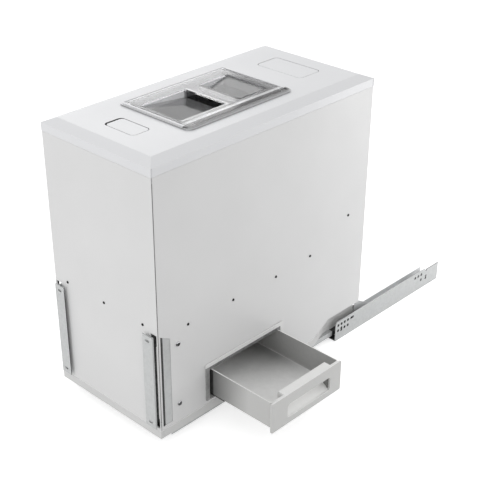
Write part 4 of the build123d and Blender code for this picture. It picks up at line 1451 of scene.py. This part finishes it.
@dataclass
class CabinetSlides(SubAssembly):
    """The two full-extension slides under the bin.

    Attributes:
        edge: how much is taken off the moving rails' edges.
        plate_edge: how much is taken off the cabinet rails' edges.
        plate: the thickness of their sheet.
        plate_reach: how deep a face of the plate lies, in thicknesses.
        bend: how far a bend reaches, in thicknesses.
        hole_facing: faces in the plate that look outwards less than this are in its holes.
        flange_top: the height of the bin rails' flange.
        rear_track: how much of the trough gets painted shade at its rear end.
        front_track: how much of it gets painted shade at its front end.
        bend_shade: how much painted shade the bend under the plate gets.
        rear_track_shade: how much painted shade the rear end gets.
        hook_start: where the bin rails' upright hook begins, along Y.
        countersink: how far the plate's holes are countersunk.
        hole_margin: how far holes keep from the plate's outline.
        hole_edge: the edges round holes are shorter than this.
    """

    edge: float = 0.3 * MM
    plate_edge: float = 0.55 * MM
    plate: float = 1.5 * MM
    plate_reach: float = 1.1
    bend: float = 2.0
    hole_facing: float = 0.99
    flange_top: float = -0.108
    rear_track: float = 75.0 * MM
    front_track: float = 95.0 * MM
    bend_shade: float = 0.3
    rear_track_shade: float = 0.45
    hook_start: float = 0.524
    countersink: float = 0.9 * MM
    hole_margin: float = 3.0 * MM
    hole_edge: float = 1.5 * MM

    def build(self) -> None:
        """Rounds the rails' cut edges, marks painted shade in the tracks and painted highlight on the hooks
        and upstands, and dresses the rollers.
        """
        zinc = self.finishes.zinc
        for side in ("right", "left"):
            rail = f"cabinet_rail_{side}"
            low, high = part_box(rail)
            ends = on_axis(1, low.y + self.front_track, high.y - self.rear_track)
            self.shop.soften(rail, zinc, self.plate_edge, shade=self.track_shade, light=self.upstand, cuts=ends,
                             prepare=self.sink_holes)
            self.shop.soften(f"middle_rail_{side}", zinc, self.edge)
            self.shop.soften(f"bin_rail_{side}", zinc, self.edge, shade=self.flange_end, light=self.hook,
                             cuts=on_axis(1, self.rail_front))
        self.shop.dress("slide_rollers", self.finishes.nylon)

    @cached_property
    def rail_front(self) -> float:
        """Where the cabinet rails begin, along Y."""
        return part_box("cabinet_rail_right")[0].y

    def hook(self, spot: Spot) -> float:
        """One for a bin rail's upright hook, which gets painted highlight."""
        return spot.at.y > self.hook_start and spot.at.z > self.flange_top

    def flange_end(self, spot: Spot) -> float:
        """One for the end of a bin rail's flange over the cabinet rail, which gets painted shade."""
        return spot.at.y > self.rail_front and spot.at.z < self.flange_top

    def upstand(self, spot: Spot) -> float:
        """One for a cabinet rail's inner upstand, which gets painted highlight."""
        return abs(spot.at.x) < min(abs(spot.low.x), abs(spot.high.x)) + self.bend * self.plate

    def track_shade(self, spot: Spot) -> float:
        """How much painted shade a face of a cabinet rail gets.

        Args:
            spot: the face.

        Returns:
            A share that is large in the plate's holes and at the front end of its inner face and of the
            trough's floor, and smaller at their rear end and on the bend under the plate.
        """
        at, low, high = spot.at, spot.low, spot.high
        near, far = sorted((abs(low.x), abs(high.x)))
        out = abs(at.x)
        if at.z < low.z + self.plate and out > far - self.plate:
            return self.bend_shade
        if not low.y + self.plate < at.y < high.y - self.plate or at.z >= high.z - self.plate:
            return 0.0
        in_plate = out > far - self.plate_reach * self.plate and at.z > low.z + self.bend * self.plate
        if in_plate and abs(spot.normal.x) < self.hole_facing:
            return 1.0
        inner_face = in_plate and out < far - self.plate / 2
        floor = level(spot) and out > near + self.bend * self.plate
        if not (inner_face or floor):
            return 0.0
        if at.y < low.y + self.front_track:
            return 1.0
        return self.rear_track_shade * (at.y > high.y - self.rear_track)

    def sink_holes(self, solid: bmesh.types.BMesh, low: Vector, high: Vector) -> None:
        """Countersinks the holes of a cabinet rail's plate.

        Args:
            solid: the rail's copy.
            low: the lowest corner of its box.
            high: the box's highest corner.
        """
        rims = [edge for edge in solid.edges if self.on_hole(edge, low, high)]
        bmesh.ops.bevel(solid, geom=rims, offset=self.countersink, offset_type="OFFSET", affect="EDGES",
                        segments=1, profile=0.5, material=-1, clamp_overlap=False)

    def on_hole(self, edge: bmesh.types.BMEdge, low: Vector, high: Vector) -> bool:
        """Tells whether an edge runs round a hole in the outer face of a cabinet rail's plate.

        Args:
            edge: an edge of the rail.
            low: the lowest corner of the rail's box.
            high: the box's highest corner.

        Returns:
            Whether it does.
        """
        face = max(abs(low.x), abs(high.x)) - self.shop.merge_distance
        middle = (edge.verts[0].co + edge.verts[1].co) / 2
        outer = all(abs(vert.co.x) > face for vert in edge.verts)
        margin = self.hole_margin
        inside = all(low[axis] + margin < middle[axis] < high[axis] - margin for axis in (1, 2))
        return outer and inside and edge.calc_length() < self.hole_edge


@dataclass(frozen=True)
class Softbox:
    """A large area lamp.

    Attributes:
        name: the lamp's name.
        place: where it stands.
        target: the point that it faces.
        width: its side.
        power: its light, in watts.
    """

    name: str
    place: tuple[float, float, float]
    target: tuple[float, float, float]
    width: float
    power: float

    def build(self) -> None:
        """Sets the lamp up, out of the camera's sight."""
        lamp = bpy.data.lights.new(self.name, "AREA")
        lamp.size = self.width
        lamp.energy = self.power
        holder = bpy.data.objects.new(self.name, lamp)
        holder.location = self.place
        aim = Vector(self.target) - Vector(self.place)
        holder.rotation_euler = aim.to_track_quat("-Z", "Y").to_euler()
        holder.visible_camera = False
        bpy.context.scene.collection.objects.link(holder)


@dataclass
class Studio:
    """A plain white room: floor, soft light from all round and three softboxes.

    Attributes:
        floor_level: the height of the floor.
        floor_size: its side.
        floor_colour: its colour, linear.
        floor_glow: how brightly it shines by itself where it is seen.
        room_light: how bright the room is as a lamp.
        softboxes: the lamps.
    """

    floor_level: float
    floor_size: float = 60.0
    floor_colour: Colour = (0.80, 0.80, 0.80)
    floor_glow: float = 0.62
    room_light: float = 0.785
    softboxes: tuple[Softbox, ...] = (
        Softbox("left rear softbox", (-2.1, 1.6, 1.9), (0.0, 0.26, 0.385), 1.4, 10.4),
        Softbox("front softbox", (-0.7, -2.4, 0.25), (0.0, 0.0, 0.1), 0.8, 9.0),
        Softbox("right rear softbox", (0.5, 1.1, 0.12), (0.127, 0.45, 0.12), 0.4, 1.4),
    )

    def build(self) -> None:
        """Sets up floor, room and lamps."""
        self.lay_floor()
        self.light_room()
        for softbox in self.softboxes:
            softbox.build()

    @staticmethod
    def seen_directly(wiring: Wiring) -> bpy.types.NodeSocket:
        """One for what the camera sees, straight or in a mirror or through glass.

        Args:
            wiring: the material's or world's tree.

        Returns:
            The value's socket.
        """
        path = wiring.add("ShaderNodeLightPath").outputs
        mirrored = wiring.larger(path["Is Glossy Ray"], path["Is Transmission Ray"])
        return wiring.larger(path["Is Camera Ray"], mirrored)

    def lay_floor(self) -> None:
        """Makes the pale floor, which glows just enough to be white outside the shadow."""
        plane = bmesh.new()
        bmesh.ops.create_grid(plane, x_segments=1, y_segments=1, size=self.floor_size / 2,
                              matrix=Matrix.Translation((0.0, 0.0, self.floor_level)))
        mesh = bpy.data.meshes.new("floor")
        plane.to_mesh(mesh)
        plane.free()
        material = bpy.data.materials.new("pale floor")
        material.use_nodes = True
        material.node_tree.nodes.clear()
        wiring = Wiring(material.node_tree)
        matt = wiring.add("ShaderNodeBsdfDiffuse", {"Color": opaque(self.floor_colour)})
        glow = wiring.times(self.seen_directly(wiring), self.floor_glow)
        light = wiring.add("ShaderNodeEmission", {"Strength": glow})
        both = wiring.add("ShaderNodeAddShader", {0: matt.outputs[0], 1: light.outputs[0]})
        wiring.add("ShaderNodeOutputMaterial", {"Surface": both.outputs[0]})
        mesh.materials.append(material)
        floor = bpy.data.objects.new("floor", mesh)
        bpy.context.scene.collection.objects.link(floor)
        floor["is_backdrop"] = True

    def light_room(self) -> None:
        """Makes the world white to the eye and a softer grey as a lamp."""
        world = bpy.data.worlds.new("white room")
        world.use_nodes = True
        world.node_tree.nodes.clear()
        wiring = Wiring(world.node_tree)
        strength = wiring.spread(self.seen_directly(wiring), self.room_light, 1.0, 0.0, 1.0)
        background = wiring.add("ShaderNodeBackground", {"Color": WHITE, "Strength": strength})
        wiring.add("ShaderNodeOutputWorld", {"Surface": background.outputs[0]})
        bpy.context.scene.world = world
        bpy.context.scene.view_settings.view_transform = "Standard"


@dataclass
class Viewpoint:
    """The camera at the photograph's viewing angle.

    Attributes:
        place: where it stands.
        azimuth: its bearing round the bin, in degrees from -Y towards +X.
        elevation: its height above the horizon, in degrees.
        roll: its tilt, in degrees.
        lens: the focal length, in millimetres.
        sensor: the sensor's width, in millimetres.
        shift: how far the frame is moved off the lens's axis, as a share of its width.
    """

    place: tuple[float, float, float] = (1.1911, -0.9246, 1.0243)
    azimuth: float = 44.789
    elevation: float = 30.391
    roll: float = -0.366
    lens: float = 81.519
    sensor: float = 36.0
    shift: tuple[float, float] = (0.0402, 0.0796)

    def build(self) -> None:
        """Sets the camera up and makes it the scene's own."""
        camera = bpy.data.cameras.new("photograph view")
        camera.lens = self.lens
        camera.sensor_width = self.sensor
        camera.shift_x, camera.shift_y = self.shift
        holder = bpy.data.objects.new("photograph view", camera)
        bearing = Matrix.Rotation(math.radians(self.azimuth), 4, "Z")
        pitch = Matrix.Rotation(math.radians(90.0 - self.elevation), 4, "X")
        tilt = Matrix.Rotation(math.radians(self.roll), 4, "Z")
        holder.matrix_world = Matrix.Translation(self.place) @ bearing @ pitch @ tilt
        bpy.context.scene.collection.objects.link(holder)
        bpy.context.scene.camera = holder


@dataclass
class RiceBin:
    """The whole bin, one sub-assembly after the other."""

    shop: Workshop
    finishes: Finishes = field(default_factory=Finishes)

    def build(self) -> None:
        """Builds and dresses every sub-assembly."""
        for part in (BodyShell, TopCover, FillingLid, RiceWay, RiceDrawer, DoorBrackets, Fasteners,
                     CabinetSlides):
            part(self.shop, self.finishes).build()


def main() -> None:
    """Loads the frame, dresses it, and sets up the studio and the camera."""
    logging.basicConfig(level=logging.INFO, format="%(message)s")
    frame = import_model()
    cad_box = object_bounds()
    bodies = {node: body for body, nodes in frame["record"]["behaviour"]["bodies"].items() for node in nodes}
    RiceBin(Workshop(frame["nodes"], bodies)).build()
    Studio(floor_level=cad_box[0].z).build()
    Viewpoint().build()


if __name__ == "__main__":
    main()
